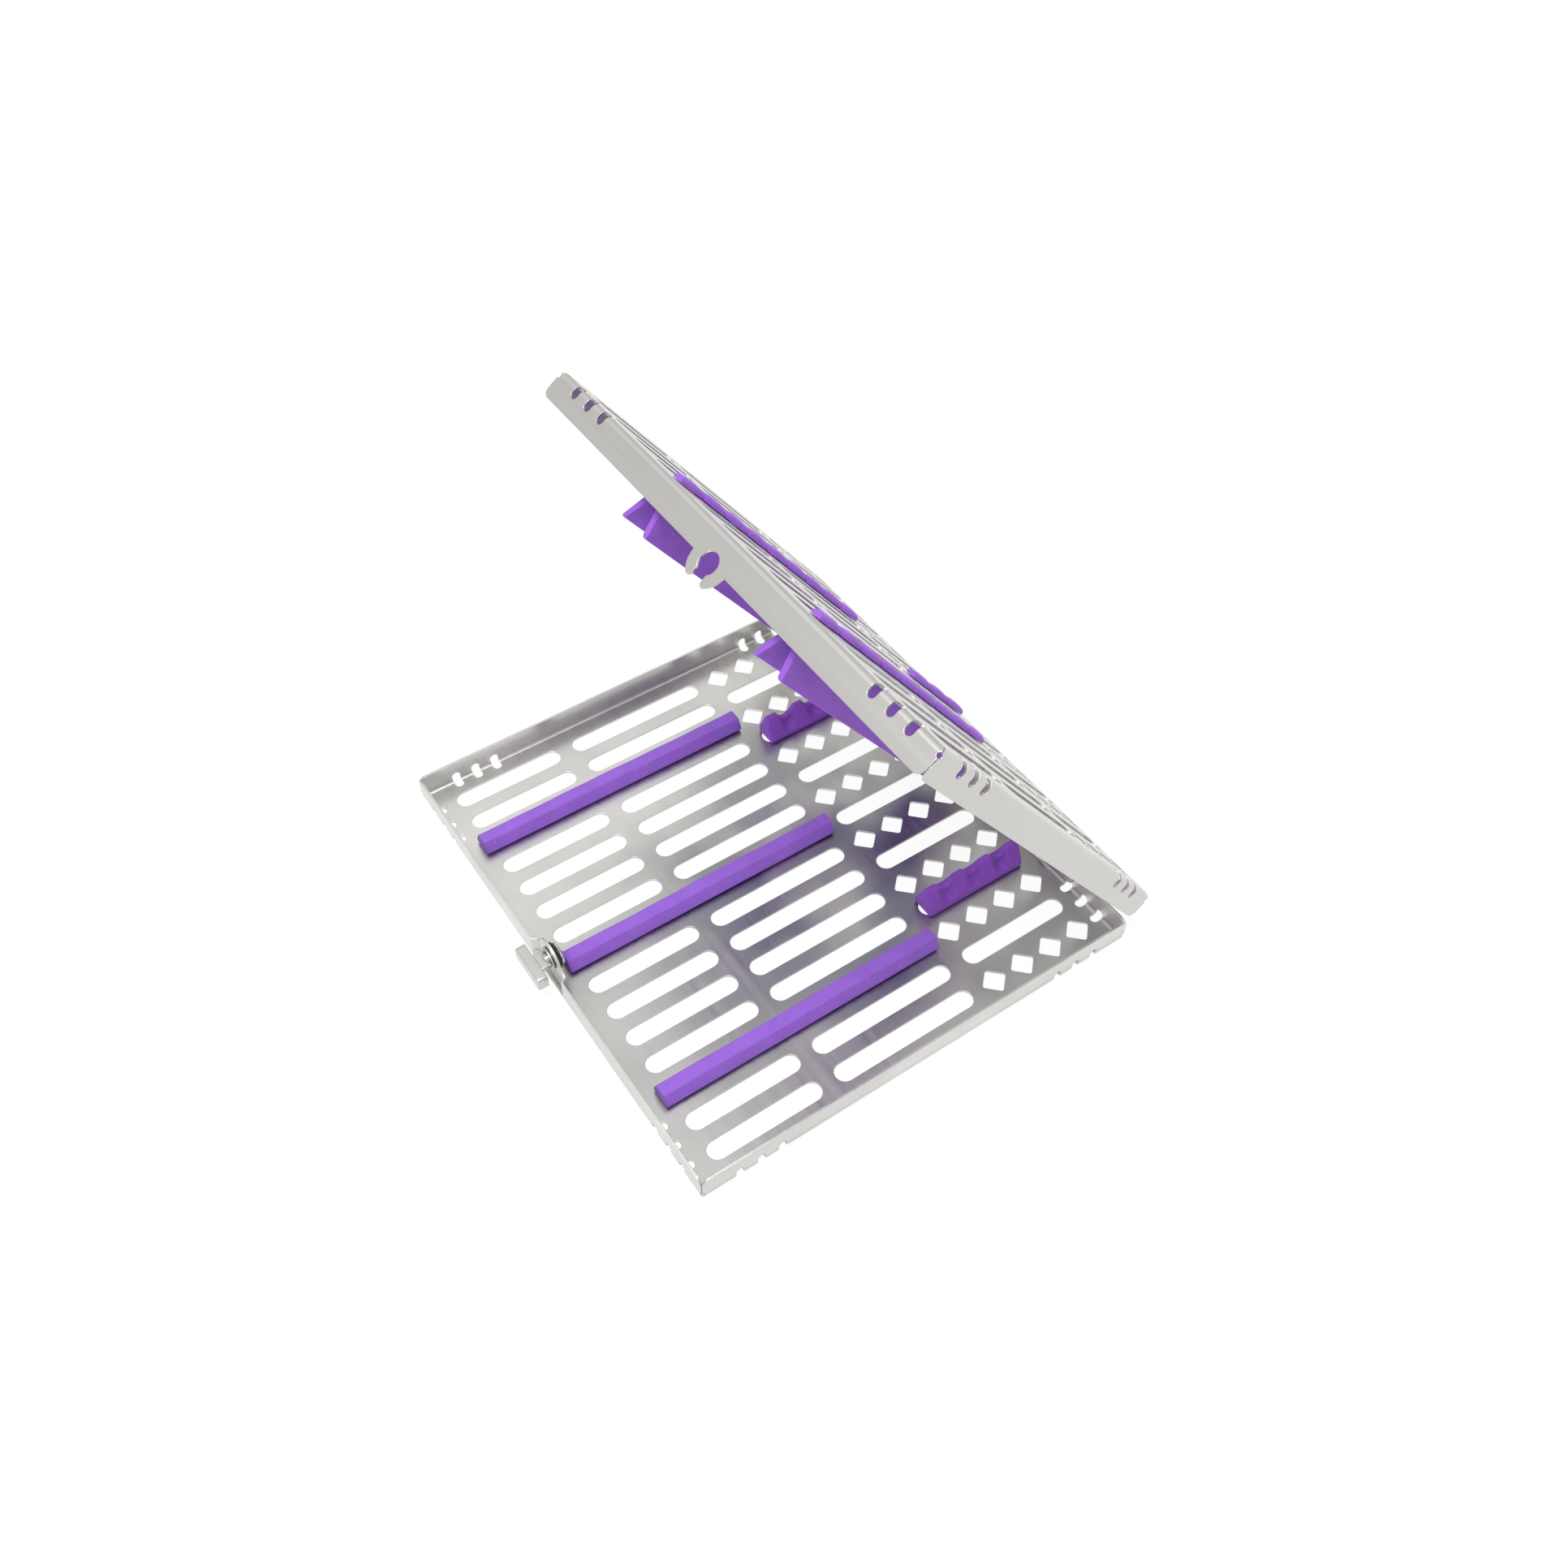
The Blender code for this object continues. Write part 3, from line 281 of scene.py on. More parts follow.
def surface(name, points, faces, finish, normals=None, uv=None, smooth=40):
    """Mesh object from arrays; shaded smooth, with sharp edges past an angle or with given normals."""
    mesh = bpy.data.meshes.new(name)
    mesh.from_pydata(np.asarray(points).tolist(), [], faces)
    mesh.materials.append(finish)
    mesh.shade_smooth()
    if uv is not None:
        layer = mesh.uv_layers.new(name="blank")
        loop = np.empty(len(mesh.loops), dtype=np.int32)
        mesh.loops.foreach_get("vertex_index", loop)
        layer.uv.foreach_set("vector", np.asarray(uv)[loop].astype(np.float32).ravel())
    if normals is None:
        mesh.set_sharp_from_angle(angle=radians(smooth))
    else:
        mesh.normals_split_custom_set_from_vertices(np.asarray(normals).tolist())
    item = bpy.data.objects.new(name, mesh)
    scene.collection.objects.link(item)
    return item


def punched_sheet(outline, holes, press):
    """Folded sheet. The blank between its rings is cut into triangles and folded twice, at the inside
    and the outside depth. Round every cut runs a rounded edge: a half turn of angle p, offset by
    EDGE times sin p, from one face to the other.
    """
    rings = []
    for index, ring in enumerate([outline] + holes):
        area = np.sum(ring[:, 0] * np.roll(ring[:, 1], -1) - ring[:, 1] * np.roll(ring[:, 0], -1))
        if (area > 0) != (index == 0):
            ring = ring[::-1]
        rings.append(ring - EDGE * corner_normals(ring, np.roll(ring, 1, 0), np.roll(ring, -1, 0)))
    starts = np.cumsum([0] + [len(ring) for ring in rings])
    edges = [(a + i, a + (i + 1) % (b - a)) for a, b in zip(starts, starts[1:]) for i in range(b - a)]
    lines = []
    for turns, across, out in WALLS:
        for up in np.linspace(0, bend_length, 7):
            ends = np.array(((-across - BEND, out + up), (across + BEND, out + up)))
            lines.append(quarter(ends, turns))
    if press:
        base = floor_y + bend_length - BEND - SHEET
        wide = (PRESS_HALF + PRESS_SIDE) * MM
        for share in np.linspace(0, 1, 9):
            level = -base - (PRESS_LOW + PRESS_RISE * share) * MM
            lines.append(np.array(((-wide, level), (wide, level))))
            edge = (PRESS_HALF + PRESS_SIDE * share) * MM
            lines += [np.array(((s * edge, -base - PRESS_LOW * MM), (s * edge, -floor_y - wall_length)))
                      for s in (-1, 1)]
    count = starts[-1]
    edges += [(count + 2 * i, count + 2 * i + 1) for i in range(len(lines))]
    found, _, triangles, _, _, _ = delaunay_2d_cdt(
        np.vstack(rings + lines).tolist(), edges, [], 0, 1e-8, False)
    flat, triangles = np.array([tuple(p) for p in found]), np.array(triangles)
    tails = np.vstack(rings)
    heads = np.vstack([np.roll(ring, -1, axis=0) for ring in rings])
    climb = np.where(heads[:, 1] == tails[:, 1], 1, heads[:, 1] - tails[:, 1])
    middle = flat[triangles].mean(axis=1)
    metal = []
    for part in np.array_split(middle, 16):
        px, py = part[:, 0, None], part[:, 1, None]
        hit = (tails[:, 1] > py) != (heads[:, 1] > py)
        hit &= px < tails[:, 0] + (py - tails[:, 1]) * (heads[:, 0] - tails[:, 0]) / climb
        rim_hits, hole_hits = hit[:, :starts[1]].sum(1), hit[:, starts[1]:].sum(1)
        metal.append((rim_hits % 2 == 1) & (hole_hits % 2 == 0))
    triangles = triangles[np.concatenate(metal)]
    used, triangles = np.unique(triangles, return_inverse=True)
    triangles, flat = triangles.reshape(-1, 3), flat[used]
    a, b, c = (flat[triangles[:, k]] for k in range(3))
    area = (b[:, 0] - a[:, 0]) * (c[:, 1] - a[:, 1]) - (b[:, 1] - a[:, 1]) * (c[:, 0] - a[:, 0])
    triangles[area < 0] = triangles[area < 0][:, ::-1]
    total = len(flat)
    sides = np.vstack((triangles[:, (0, 1)], triangles[:, (1, 2)], triangles[:, (2, 0)]))
    keys, back = sides[:, 0] * total + sides[:, 1], sides[:, 1] * total + sides[:, 0]
    sides = sides[~np.isin(keys, back)]
    rim = sides[:, 0]
    after, before = np.zeros(total, int), np.zeros(total, int)
    after[sides[:, 0]], before[sides[:, 1]] = sides[:, 1], sides[:, 0]
    out = np.zeros_like(flat)
    out[rim] = corner_normals(flat[rim], flat[before[rim]], flat[after[rim]])
    order = np.zeros(total, int)
    order[rim] = np.arange(len(rim))

    def normal_at(where, depth):
        step = 0.02 * MM
        along = fold(where + (step, 0), depth, press) - fold(where - (step, 0), depth, press)
        over = fold(where + (0, step), depth, press) - fold(where - (0, step), depth, press)
        cross = np.cross(along, over)
        return cross / np.linalg.norm(cross, axis=1)[:, None]

    inner = normal_at(flat, 0.0)
    outer = normal_at(flat, SHEET)
    points = [fold(flat, 0.0, press), fold(flat, SHEET, press)]
    normals, uv = [inner, -outer], [flat, flat]
    loops = [rim]
    shift = fold(flat[rim] + out[rim] * EDGE, 0.0, press) - points[0][rim]
    tangent = shift / np.linalg.norm(shift, axis=1)[:, None]
    for index, (p, depth) in enumerate(((30, 0), (60, 0), (90, 0), (90, 1), (120, 1), (150, 1))):
        p = radians(p)
        offset = EDGE * sin(p)
        depth = EDGE * (1 - cos(p)) if depth == 0 else SHEET - EDGE * (1 + cos(p))
        where = flat[rim] + out[rim] * offset
        points.append(fold(where, depth, press))
        normals.append(cos(p) * inner[rim] + sin(p) * tangent)
        uv.append(where)
        loops.append(2 * total + index * len(rim) + np.arange(len(rim)))
    loops.append(rim + total)
    heads = order[sides[:, 1]]
    faces = triangles.tolist() + (triangles[:, ::-1] + total).tolist()
    for upper, lower in zip(loops, loops[1:]):
        faces += np.column_stack((upper[heads], upper, lower, lower[heads])).tolist()
    return np.vstack(points), np.vstack(normals), np.vstack(uv), faces


STAIN_SPOT = (0.022, 0.022, 0)  # middle of the dark clouds on the floor, in metres


def sheet_steel(name, tone, dull, stain):
    """Brushed stainless: streaks along the sheet from noise stretched in one direction, broad soft
    dull patches and fine scratches. Where the stain is 1 the floor is duller to the right of the
    middle and has dark bluish clouds about one spot.
    """
    finish = bpy.data.materials.new(name)
    finish.use_nodes = True
    tree = finish.node_tree
    shader = tree.nodes["Principled BSDF"]
    shader.inputs["Metallic"].default_value = 1.0
    where = tree.nodes.new("ShaderNodeUVMap")
    where.uv_map = "blank"

    def noise(scale, size, detail):
        stretch = tree.nodes.new("ShaderNodeMapping")
        stretch.inputs["Scale"].default_value = scale
        grain = tree.nodes.new("ShaderNodeTexNoise")
        grain.inputs["Scale"].default_value = size
        grain.inputs["Detail"].default_value = detail
        tree.links.new(where.outputs[0], stretch.inputs["Vector"])
        tree.links.new(stretch.outputs[0], grain.inputs["Vector"])
        return grain.outputs["Fac"]

    def ramp(value, low, high, first, last):
        node = tree.nodes.new("ShaderNodeMapRange")
        node.inputs["From Min"].default_value, node.inputs["From Max"].default_value = low, high
        node.inputs["To Min"].default_value, node.inputs["To Max"].default_value = first, last
        tree.links.new(value, node.inputs["Value"])
        return node.outputs["Result"]

    streaks = noise((14, 1900, 1), 1.0, 2.0)
    bands = noise((5, 420, 1), 1.0, 2.0)
    patches = noise((1, 1, 1), 24.0, 2.0)
    place = tree.nodes.new("ShaderNodeTexCoord")
    split = tree.nodes.new("ShaderNodeSeparateXYZ")
    tree.links.new(place.outputs["Object"], split.inputs[0])
    apart = tree.nodes.new("ShaderNodeVectorMath")
    apart.operation = "DISTANCE"
    apart.inputs[1].default_value = STAIN_SPOT
    tree.links.new(place.outputs["Object"], apart.inputs[0])

    def combine(operation, first, second):
        node = tree.nodes.new("ShaderNodeMath")
        node.operation = operation
        tree.links.new(first, node.inputs[0])
        tree.links.new(second, node.inputs[1])
        return node.outputs[0]

    def mix(factor, first, second):
        node = tree.nodes.new("ShaderNodeMix")
        node.data_type = "RGBA"
        tree.links.new(factor, node.inputs["Factor"])
        if isinstance(first, tuple):
            node.inputs["A"].default_value = (*first, 1)
        else:
            tree.links.new(first, node.inputs["A"])
        node.inputs["B"].default_value = (*second, 1)
        return node.outputs["Result"]

    floor = ramp(split.outputs["Z"], 1.5 * MM, 4 * MM, stain, 0.0)
    right = combine("MULTIPLY", floor, ramp(split.outputs["X"], -0.05, 0.01, 0.0, 0.50))
    worn = combine("ADD", ramp(patches, 0.4, 0.6, 0.0, 0.24), ramp(streaks, 0.3, 0.7, 0.0, 0.10))
    near = ramp(apart.outputs["Value"], 0.03, 0.085, 0.72, 0.0)
    cloud = combine("MULTIPLY", ramp(patches, 0.43, 0.56, 0.0, 1.0), near)
    colour = mix(combine("ADD", worn, right), tone, tuple(c * dull for c in tone))
    colour = mix(combine("MULTIPLY", floor, cloud), colour, (0.24, 0.245, 0.33))
    tree.links.new(colour, shader.inputs["Base Color"])
    tree.links.new(ramp(bands, 0.3, 0.7, 0.27, 0.34), shader.inputs["Roughness"])
    bump = tree.nodes.new("ShaderNodeBump")
    bump.inputs["Strength"].default_value = 0.05
    bump.inputs["Distance"].default_value = 0.00002
    tree.links.new(streaks, bump.inputs["Height"])
    tree.links.new(bump.outputs[0], shader.inputs["Normal"])
    return finish


tray_steel = sheet_steel("tray_steel", (0.68, 0.672, 0.65), 0.62, 1.0)
TAB_FOOT, TAB_RADIUS = 9.4 * MM, 7.3 * MM
crown_start = atan2(0.3, 1.0)
crown = arc((0, LATCH_ABOVE), TAB_RADIUS, crown_start, pi - crown_start)
tab = np.vstack(((TAB_FOOT, 0), crown, (-TAB_FOOT, 0)))
nub_ys = np.linspace(front_slots[0] + 3.7 * MM, middle_slots[1] - 3.7 * MM, 6)
tray_holes = shared_holes((-5, 0, 5), ())
tray_holes += [disc(row * PITCH, y, 1.9 * MM) for row in (-5, 0, 5) for y in nub_ys]
tray_holes.append(disc(0, -floor_y - bend_length - (LATCH_Z - BEND - SHEET), 2.5 * MM))
points, normals, uv, faces = punched_sheet(blank_outline(tab), tray_holes, 2.0 * MM)
lower_pan = surface("lower_pan", points, faces, tray_steel, normals, uv)
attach(lower_pan, "base")
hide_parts("base_tray")


# ---- Silicone rails
# Three moulded silicone rails lie from front to back and keep the instruments off the steel. Each
# has a flat top, sloping sides and a row of nubs that snap through round holes in the floor.

RAIL_TOP, RAIL_BASE, RAIL_FOOT = 4.8 * MM, 9.2 * MM, 7.2 * MM
RAIL_LOW = SHEET + 0.7 * MM
RAIL_HEIGHT = 5.2 * MM


def soften(corners, radius, steps=5):
    """Polygon whose corners become curves: (1-t)^2 A + 2t(1-t) C + t^2 B, with A and B on the sides
    at the radius from corner C."""
    corners = np.asarray(corners, float)
    back, on = np.roll(corners, 1, 0) - corners, np.roll(corners, -1, 0) - corners
    back_length, on_length = np.linalg.norm(back, axis=1), np.linalg.norm(on, axis=1)
    reach = np.minimum(radius, 0.45 * np.minimum(back_length, on_length))[:, None]
    a, b = corners + back / back_length[:, None] * reach, corners + on / on_length[:, None] * reach
    t = np.linspace(0, 1, steps)[None, :, None]
    curve = (1 - t) ** 2 * a[:, None] + 2 * t * (1 - t) * corners[:, None] + t ** 2 * b[:, None]
    return curve.reshape(-1, 2)


def run_along_y(profile, front, rear, roundness, stations=3, middle=None):
    """Profile in (x, z) carried along Y. Near each end it shrinks about its middle by the roundness
    times 1 - sin p while it moves by the roundness times 1 - cos p, for p from 0 to a right angle."""
    p = np.linspace(0, pi / 2, 5)
    inset, travel = roundness * (1 - np.sin(p)), roundness * (1 - np.cos(p))
    y = np.concatenate((front + travel, np.linspace(front + roundness, rear - roundness, stations)[1:-1],
                        rear - travel[::-1]))
    inset = np.concatenate((inset, np.zeros(stations - 2), inset[::-1]))
    middle = (profile.max(0) + profile.min(0)) / 2 if middle is None else np.asarray(middle)
    half = (profile.max(0) - profile.min(0)) / 2
    scale = 1 - inset[:, None, None] / half
    flat = middle + (profile[None] - middle) * scale
    return np.stack((flat[..., 0], np.broadcast_to(y[:, None], flat.shape[:2]), flat[..., 1]), -1)


def facing(points, triangles):
    """1 where the volume inside closed triangles is positive, or -1 where they face inward. The volume
    is a sixth of the sum of each triangle's first corner dotted with the cross product of the others."""
    one, two, three = (points[triangles[:, k]] for k in range(3))
    return 1 if np.sum(one * np.cross(two, three)) > 0 else -1


def skins(grids, middles=()):
    """Closed skins from grids of rings: neighbouring rings joined, both ends fanned to their middle
    or to a given point, and each skin turned so that its volume is positive."""
    points, faces, start = [], [], 0
    middles = list(middles) + [None] * len(grids)
    for grid, ends in zip(grids, middles):
        count, around, _ = grid.shape
        index = np.arange(count * around).reshape(count, around)
        a, b = index[:-1], index[1:]
        quads = np.stack((a, np.roll(a, -1, 1), np.roll(b, -1, 1), b), -1).reshape(-1, 4)
        ends = (grid[0].mean(0), grid[-1].mean(0)) if ends is None else ends
        place = np.vstack((grid.reshape(-1, 3), *ends))
        fans = [np.column_stack((ring, np.roll(ring, -1), np.full(around, count * around + k)))
                for k, ring in enumerate((index[0][::-1], index[-1]))]
        triangles = np.vstack((quads[:, :3], quads[:, (0, 2, 3)], *fans))
        turn = facing(place, triangles)
        for part in (quads, *fans):
            faces += (part[:, ::turn] + start).tolist()
        points.append(place)
        start += len(place)
    return np.vstack(points), faces


def upright_pin(x, y, low, high, radius):
    """Round pin along Z with a slightly rounded lower end."""
    t = np.linspace(0, 2 * pi, 25)[:-1]
    z = np.array((low, low + 0.15 * radius, low + 0.4 * radius, high))
    r = radius * np.array((0.75, 0.92, 1.0, 1.0))
    return np.stack((x + r[:, None] * np.cos(t), y + r[:, None] * np.sin(t),
                     np.broadcast_to(z[:, None], (4, 24))), -1)


def silicone(name, tone, shade, lint):
    """Matte silicone rubber: slow cloudy change of tone, a powdery grain in tone and bump, and a few
    pale specks of lint."""
    finish = bpy.data.materials.new(name)
    finish.use_nodes = True
    tree = finish.node_tree
    shader = tree.nodes["Principled BSDF"]
    shader.inputs["Roughness"].default_value = 0.62
    shader.inputs["Specular IOR Level"].default_value = 0.30
    shader.inputs["Subsurface Weight"].default_value = 0.12
    shader.inputs["Subsurface Radius"].default_value = (0.6, 0.3, 0.9)
    shader.inputs["Subsurface Scale"].default_value = 0.0012
    shader.inputs["Sheen Weight"].default_value = 0.10
    where = tree.nodes.new("ShaderNodeTexCoord").outputs["Object"]

    def noise(size, detail):
        grain = tree.nodes.new("ShaderNodeTexNoise")
        grain.inputs["Scale"].default_value = size
        grain.inputs["Detail"].default_value = detail
        tree.links.new(where, grain.inputs["Vector"])
        return grain.outputs["Fac"]

    def blend(factor, first, second):
        mix = tree.nodes.new("ShaderNodeMix")
        mix.data_type = "RGBA"
        tree.links.new(factor, mix.inputs["Factor"])
        for slot_name, value in (("A", first), ("B", second)):
            if isinstance(value, tuple):
                mix.inputs[slot_name].default_value = (*value, 1)
            else:
                tree.links.new(value, mix.inputs[slot_name])
        return mix.outputs["Result"]

    def step(value, low, high, top):
        node = tree.nodes.new("ShaderNodeMapRange")
        node.inputs["From Min"].default_value, node.inputs["From Max"].default_value = low, high
        node.inputs["To Max"].default_value = top
        tree.links.new(value, node.inputs["Value"])
        return node.outputs["Result"]

    cloud, grain = noise(120, 3), noise(2600, 4)
    body = blend(step(cloud, 0.3, 0.7, 1.0), tuple(c * shade for c in tone), tone)
    body = blend(step(grain, 0.5, 0.75, 0.35), body, tuple(min(1, c * 1.25 + 0.03) for c in tone))
    body = blend(step(noise(900, 1), 0.765, 0.80, lint), body, (0.75, 0.68, 0.85))
    tree.links.new(body, shader.inputs["Base Color"])
    bump = tree.nodes.new("ShaderNodeBump")
    bump.inputs["Strength"].default_value = 0.25
    bump.inputs["Distance"].default_value = 0.00006
    tree.links.new(grain, bump.inputs["Height"])
    tree.links.new(bump.outputs[0], shader.inputs["Normal"])
    return finish


rail_silicone = silicone("rail_silicone", (0.245, 0.097, 0.53), 0.88, 0.5)
rail_front, rail_rear = front_slots[0] - 2.3 * MM, middle_slots[1] + 2.3 * MM
for name, row in (("rail_left", -5), ("rail_centre", 0), ("rail_right", 5)):
    x = row * PITCH
    half = np.array(((RAIL_FOOT / 2, 0), (RAIL_BASE / 2, 0.7 * MM), (RAIL_TOP / 2, RAIL_HEIGHT)))
    profile = soften(np.vstack((half, half[::-1] * (-1, 1))) + (x, RAIL_LOW), 0.38 * MM)
    grid = run_along_y(profile, rail_front, rail_rear, 0.5 * MM, 61)
    pull = np.cos((grid[..., 1] - nub_ys[0]) / (nub_ys[1] - nub_ys[0]) * 2 * pi)
    rise = (grid[..., 2] - RAIL_LOW) / RAIL_HEIGHT
    grid[..., 2] -= rise * (0.10 + 0.10 * pull) * MM
    grid[..., 0] += rise * 0.12 * MM * np.sin(grid[..., 1] * 90 + row)
    pins = [upright_pin(x, y, SHEET - 0.6 * MM, RAIL_LOW + 1.0 * MM, 1.6 * MM) for y in nub_ys]
    rail = surface(name + "_silicone", *skins([grid] + pins), rail_silicone, smooth=22)
    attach(rail, "base")
    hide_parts(name)


# ---- Notched rests
# Two short silicone rests hold the handles near the hinges. Each is a gabled block whose ridge rises
# in four peaks. The saddles between them narrow down the flanks. A tongue fills the slot under it.

REST_HEIGHT, REST_VALLEY, REST_SKIRT = 10.4 * MM, 3.9 * MM, 2.2 * MM
REST_HALF = 4.7                # half width in millimetres
rest_silicone = silicone("rest_silicone", (0.235, 0.062, 0.49), 0.84, 0.4)
for name, row in (("notched_rest_left", -4), ("notched_rest_right", 4)):
    x = row * PITCH
    middle = sum(rear_slots) / 2
    half = (rear_slots[1] - rear_slots[0]) / 2 - 1.0 * MM
    spacing = 2 * half / 3.5
    crest = np.linspace(-half + 1 * MM, half - 1 * MM, 120)
    v = np.concatenate(([-half, -half + 0.15 * MM, -half + 0.5 * MM], crest,
                        [half - 0.5 * MM, half - 0.15 * MM, half]))
    # A peak stands at each whole phase; off_valley is 1 there and 0 in the saddle half way between.
    phase = np.clip((v + half) / spacing - 0.25, 0, 3)
    off_valley = np.abs(2 * (phase - np.floor(phase)) - 1)
    ends = np.clip(1 - (half - np.abs(v)) / (0.4 * MM), 0, 1) ** 2 * 0.4 * MM
    top = REST_HEIGHT - REST_VALLEY * np.clip(1 - (off_valley / 0.68) ** 2, 0, 1)
    # Half width and height along the rest, from the base up. The flank narrows with its share of the
    # height, and each saddle is scooped out of it over a reach that widens upwards.
    rings = [((REST_HALF - 0.2) * MM + 0 * v, 0 * v), (REST_HALF * MM + 0 * v, 0.25 * MM + 0 * v)]
    for share in (0.0, 0.06, 0.14, 0.23, 0.32, 0.42, 0.52, 0.62, 0.72, 0.82, 0.91, 1.0):
        wide = REST_HALF - 3.8 * share
        reach = 0.22 + 0.48 * share ** 0.6
        scoop = np.clip(1 - (off_valley / reach) ** 2, 0, 1)
        hollow = 2.3 * sin(pi * share ** 0.62) * scoop
        rings.append(((wide - hollow) * MM, REST_SKIRT + (top - REST_SKIRT) * share))
    rings.append((0.6 * MM + 0 * v, top + 0.2 * MM))
    across = np.stack([np.broadcast_to(r[0], v.shape) for r in rings], 1) - ends[:, None]
    height = np.stack([np.broadcast_to(r[1], v.shape) for r in rings], 1)
    height = np.where(height > 2 * MM, height - ends[:, None], height)
    across = np.concatenate((across, -across[:, ::-1]), 1)
    height = np.concatenate((height, height[:, ::-1]), 1)
    lengthwise = np.broadcast_to((middle + v)[:, None], across.shape)
    grid = np.stack((x + across, lengthwise, RAIL_LOW + height), -1)
    tongue = slot(x, rear_slots[0] + 2 * MM, rear_slots[1] - 2 * MM, SLOT - 1.2 * MM)
    levels = np.array((SHEET - 0.6 * MM, RAIL_LOW + 0.7 * MM))
    foot = np.stack([np.column_stack((tongue, np.full(len(tongue), z))) for z in levels])
    rest = surface(name + "_silicone", *skins([grid, foot]), rest_silicone, smooth=26)
    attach(rest, "base")
    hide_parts(name)


# ---- Lid
# A second pan of the same blank, turned over and hinged at the back. In place of the tab it has a
# clip cut from the rim of its front wall, whose mouth drops over the shank of the latch.

lid_joint = next(j for j in frame["record"]["behaviour"]["joints"] if j["name"] == "lid_hinge")
HINGE_Y, HINGE_Z = lid_joint["pos_m"][1:]
SHUT_HEIGHT = 2 * PAN_HEIGHT + 0.4 * MM
opened = radians(-lid_joint["range_deg"][0])


def swing_open(points):
    """Turn points about the hinge line from the shut lid to where it stands open: y and z from the
    hinge turn by the opening angle, which lifts the front."""
    y, z = points[..., 1] - HINGE_Y, points[..., 2] - HINGE_Z
    return np.stack((points[..., 0], HINGE_Y + y * cos(opened) + z * sin(opened),
                     HINGE_Z - y * sin(opened) + z * cos(opened)), -1)


BORE, CLIP, MOUTH, TIP = 3.85 * MM, 8.0 * MM, 4.8 * MM, 1.5 * MM
tip_x = MOUTH / 2 + TIP
tip_y = sqrt((CLIP - TIP) ** 2 - tip_x ** 2)
bend_in = atan2(tip_y, tip_x)
clip_right = np.vstack((arc((0, 0), CLIP, 0, bend_in), arc((tip_x, tip_y), TIP, bend_in, pi)[1:],
                        arc((0, 0), BORE, acos(MOUTH / 2 / BORE), -pi / 2)))
clip = np.vstack((clip_right, (clip_right[::-1] * (-1, 1))[1:]))


def strip_span(short):
    """Front and rear end of a strip: a long one, or the short one at the back."""
    front = middle_slots[1] + 3.6 * MM
    return (front, front + 44.3 * MM) if short else (-half_d + 5.4 * MM, middle_slots[1] + 8 * MM)


def neck_ys(short):
    """Middles of the slots that hold a strip, 25.4 mm apart and centred on it."""
    front, rear = strip_span(short)
    count = max(1, int((rear - front) / (25.4 * MM)))
    return [(front + rear) / 2 + (k - (count - 1) / 2) * 25.4 * MM for k in range(count)]


strips = (("lid_strip_left", -3 * PITCH + 1.4 * MM, False),
          ("lid_strip_right", 3 * PITCH - 1.4 * MM, False), ("lid_strip_rear", 0.0, True))
lid_holes = shared_holes((-3, 3), (0,))
for name, x, short in strips:
    lid_holes += [slot(x, y - 10.3 * MM, y + 10.3 * MM, 2.8 * MM) for y in neck_ys(short)]
lid_steel = sheet_steel("lid_steel", (0.58, 0.572, 0.55), 0.94, 0.0)
points, normals, uv, faces = punched_sheet(blank_outline(clip), lid_holes, 0.0)
points = swing_open(points * (1, 1, -1) + (0, 0, SHUT_HEIGHT))
normals = swing_open(normals * (1, 1, -1) + (0, HINGE_Y, HINGE_Z)) - (0, HINGE_Y, HINGE_Z)
upper_pan = surface("upper_pan", points, [face[::-1] for face in faces], lid_steel, normals, uv)
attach(upper_pan, "lid")
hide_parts("lid")


# ---- Hold-down strips
# Silicone strips pulled through slots in the lid. Outside shows a low bar of beads, and inside two
# soft flaps spread apart and press the instruments down when the lid is shut.

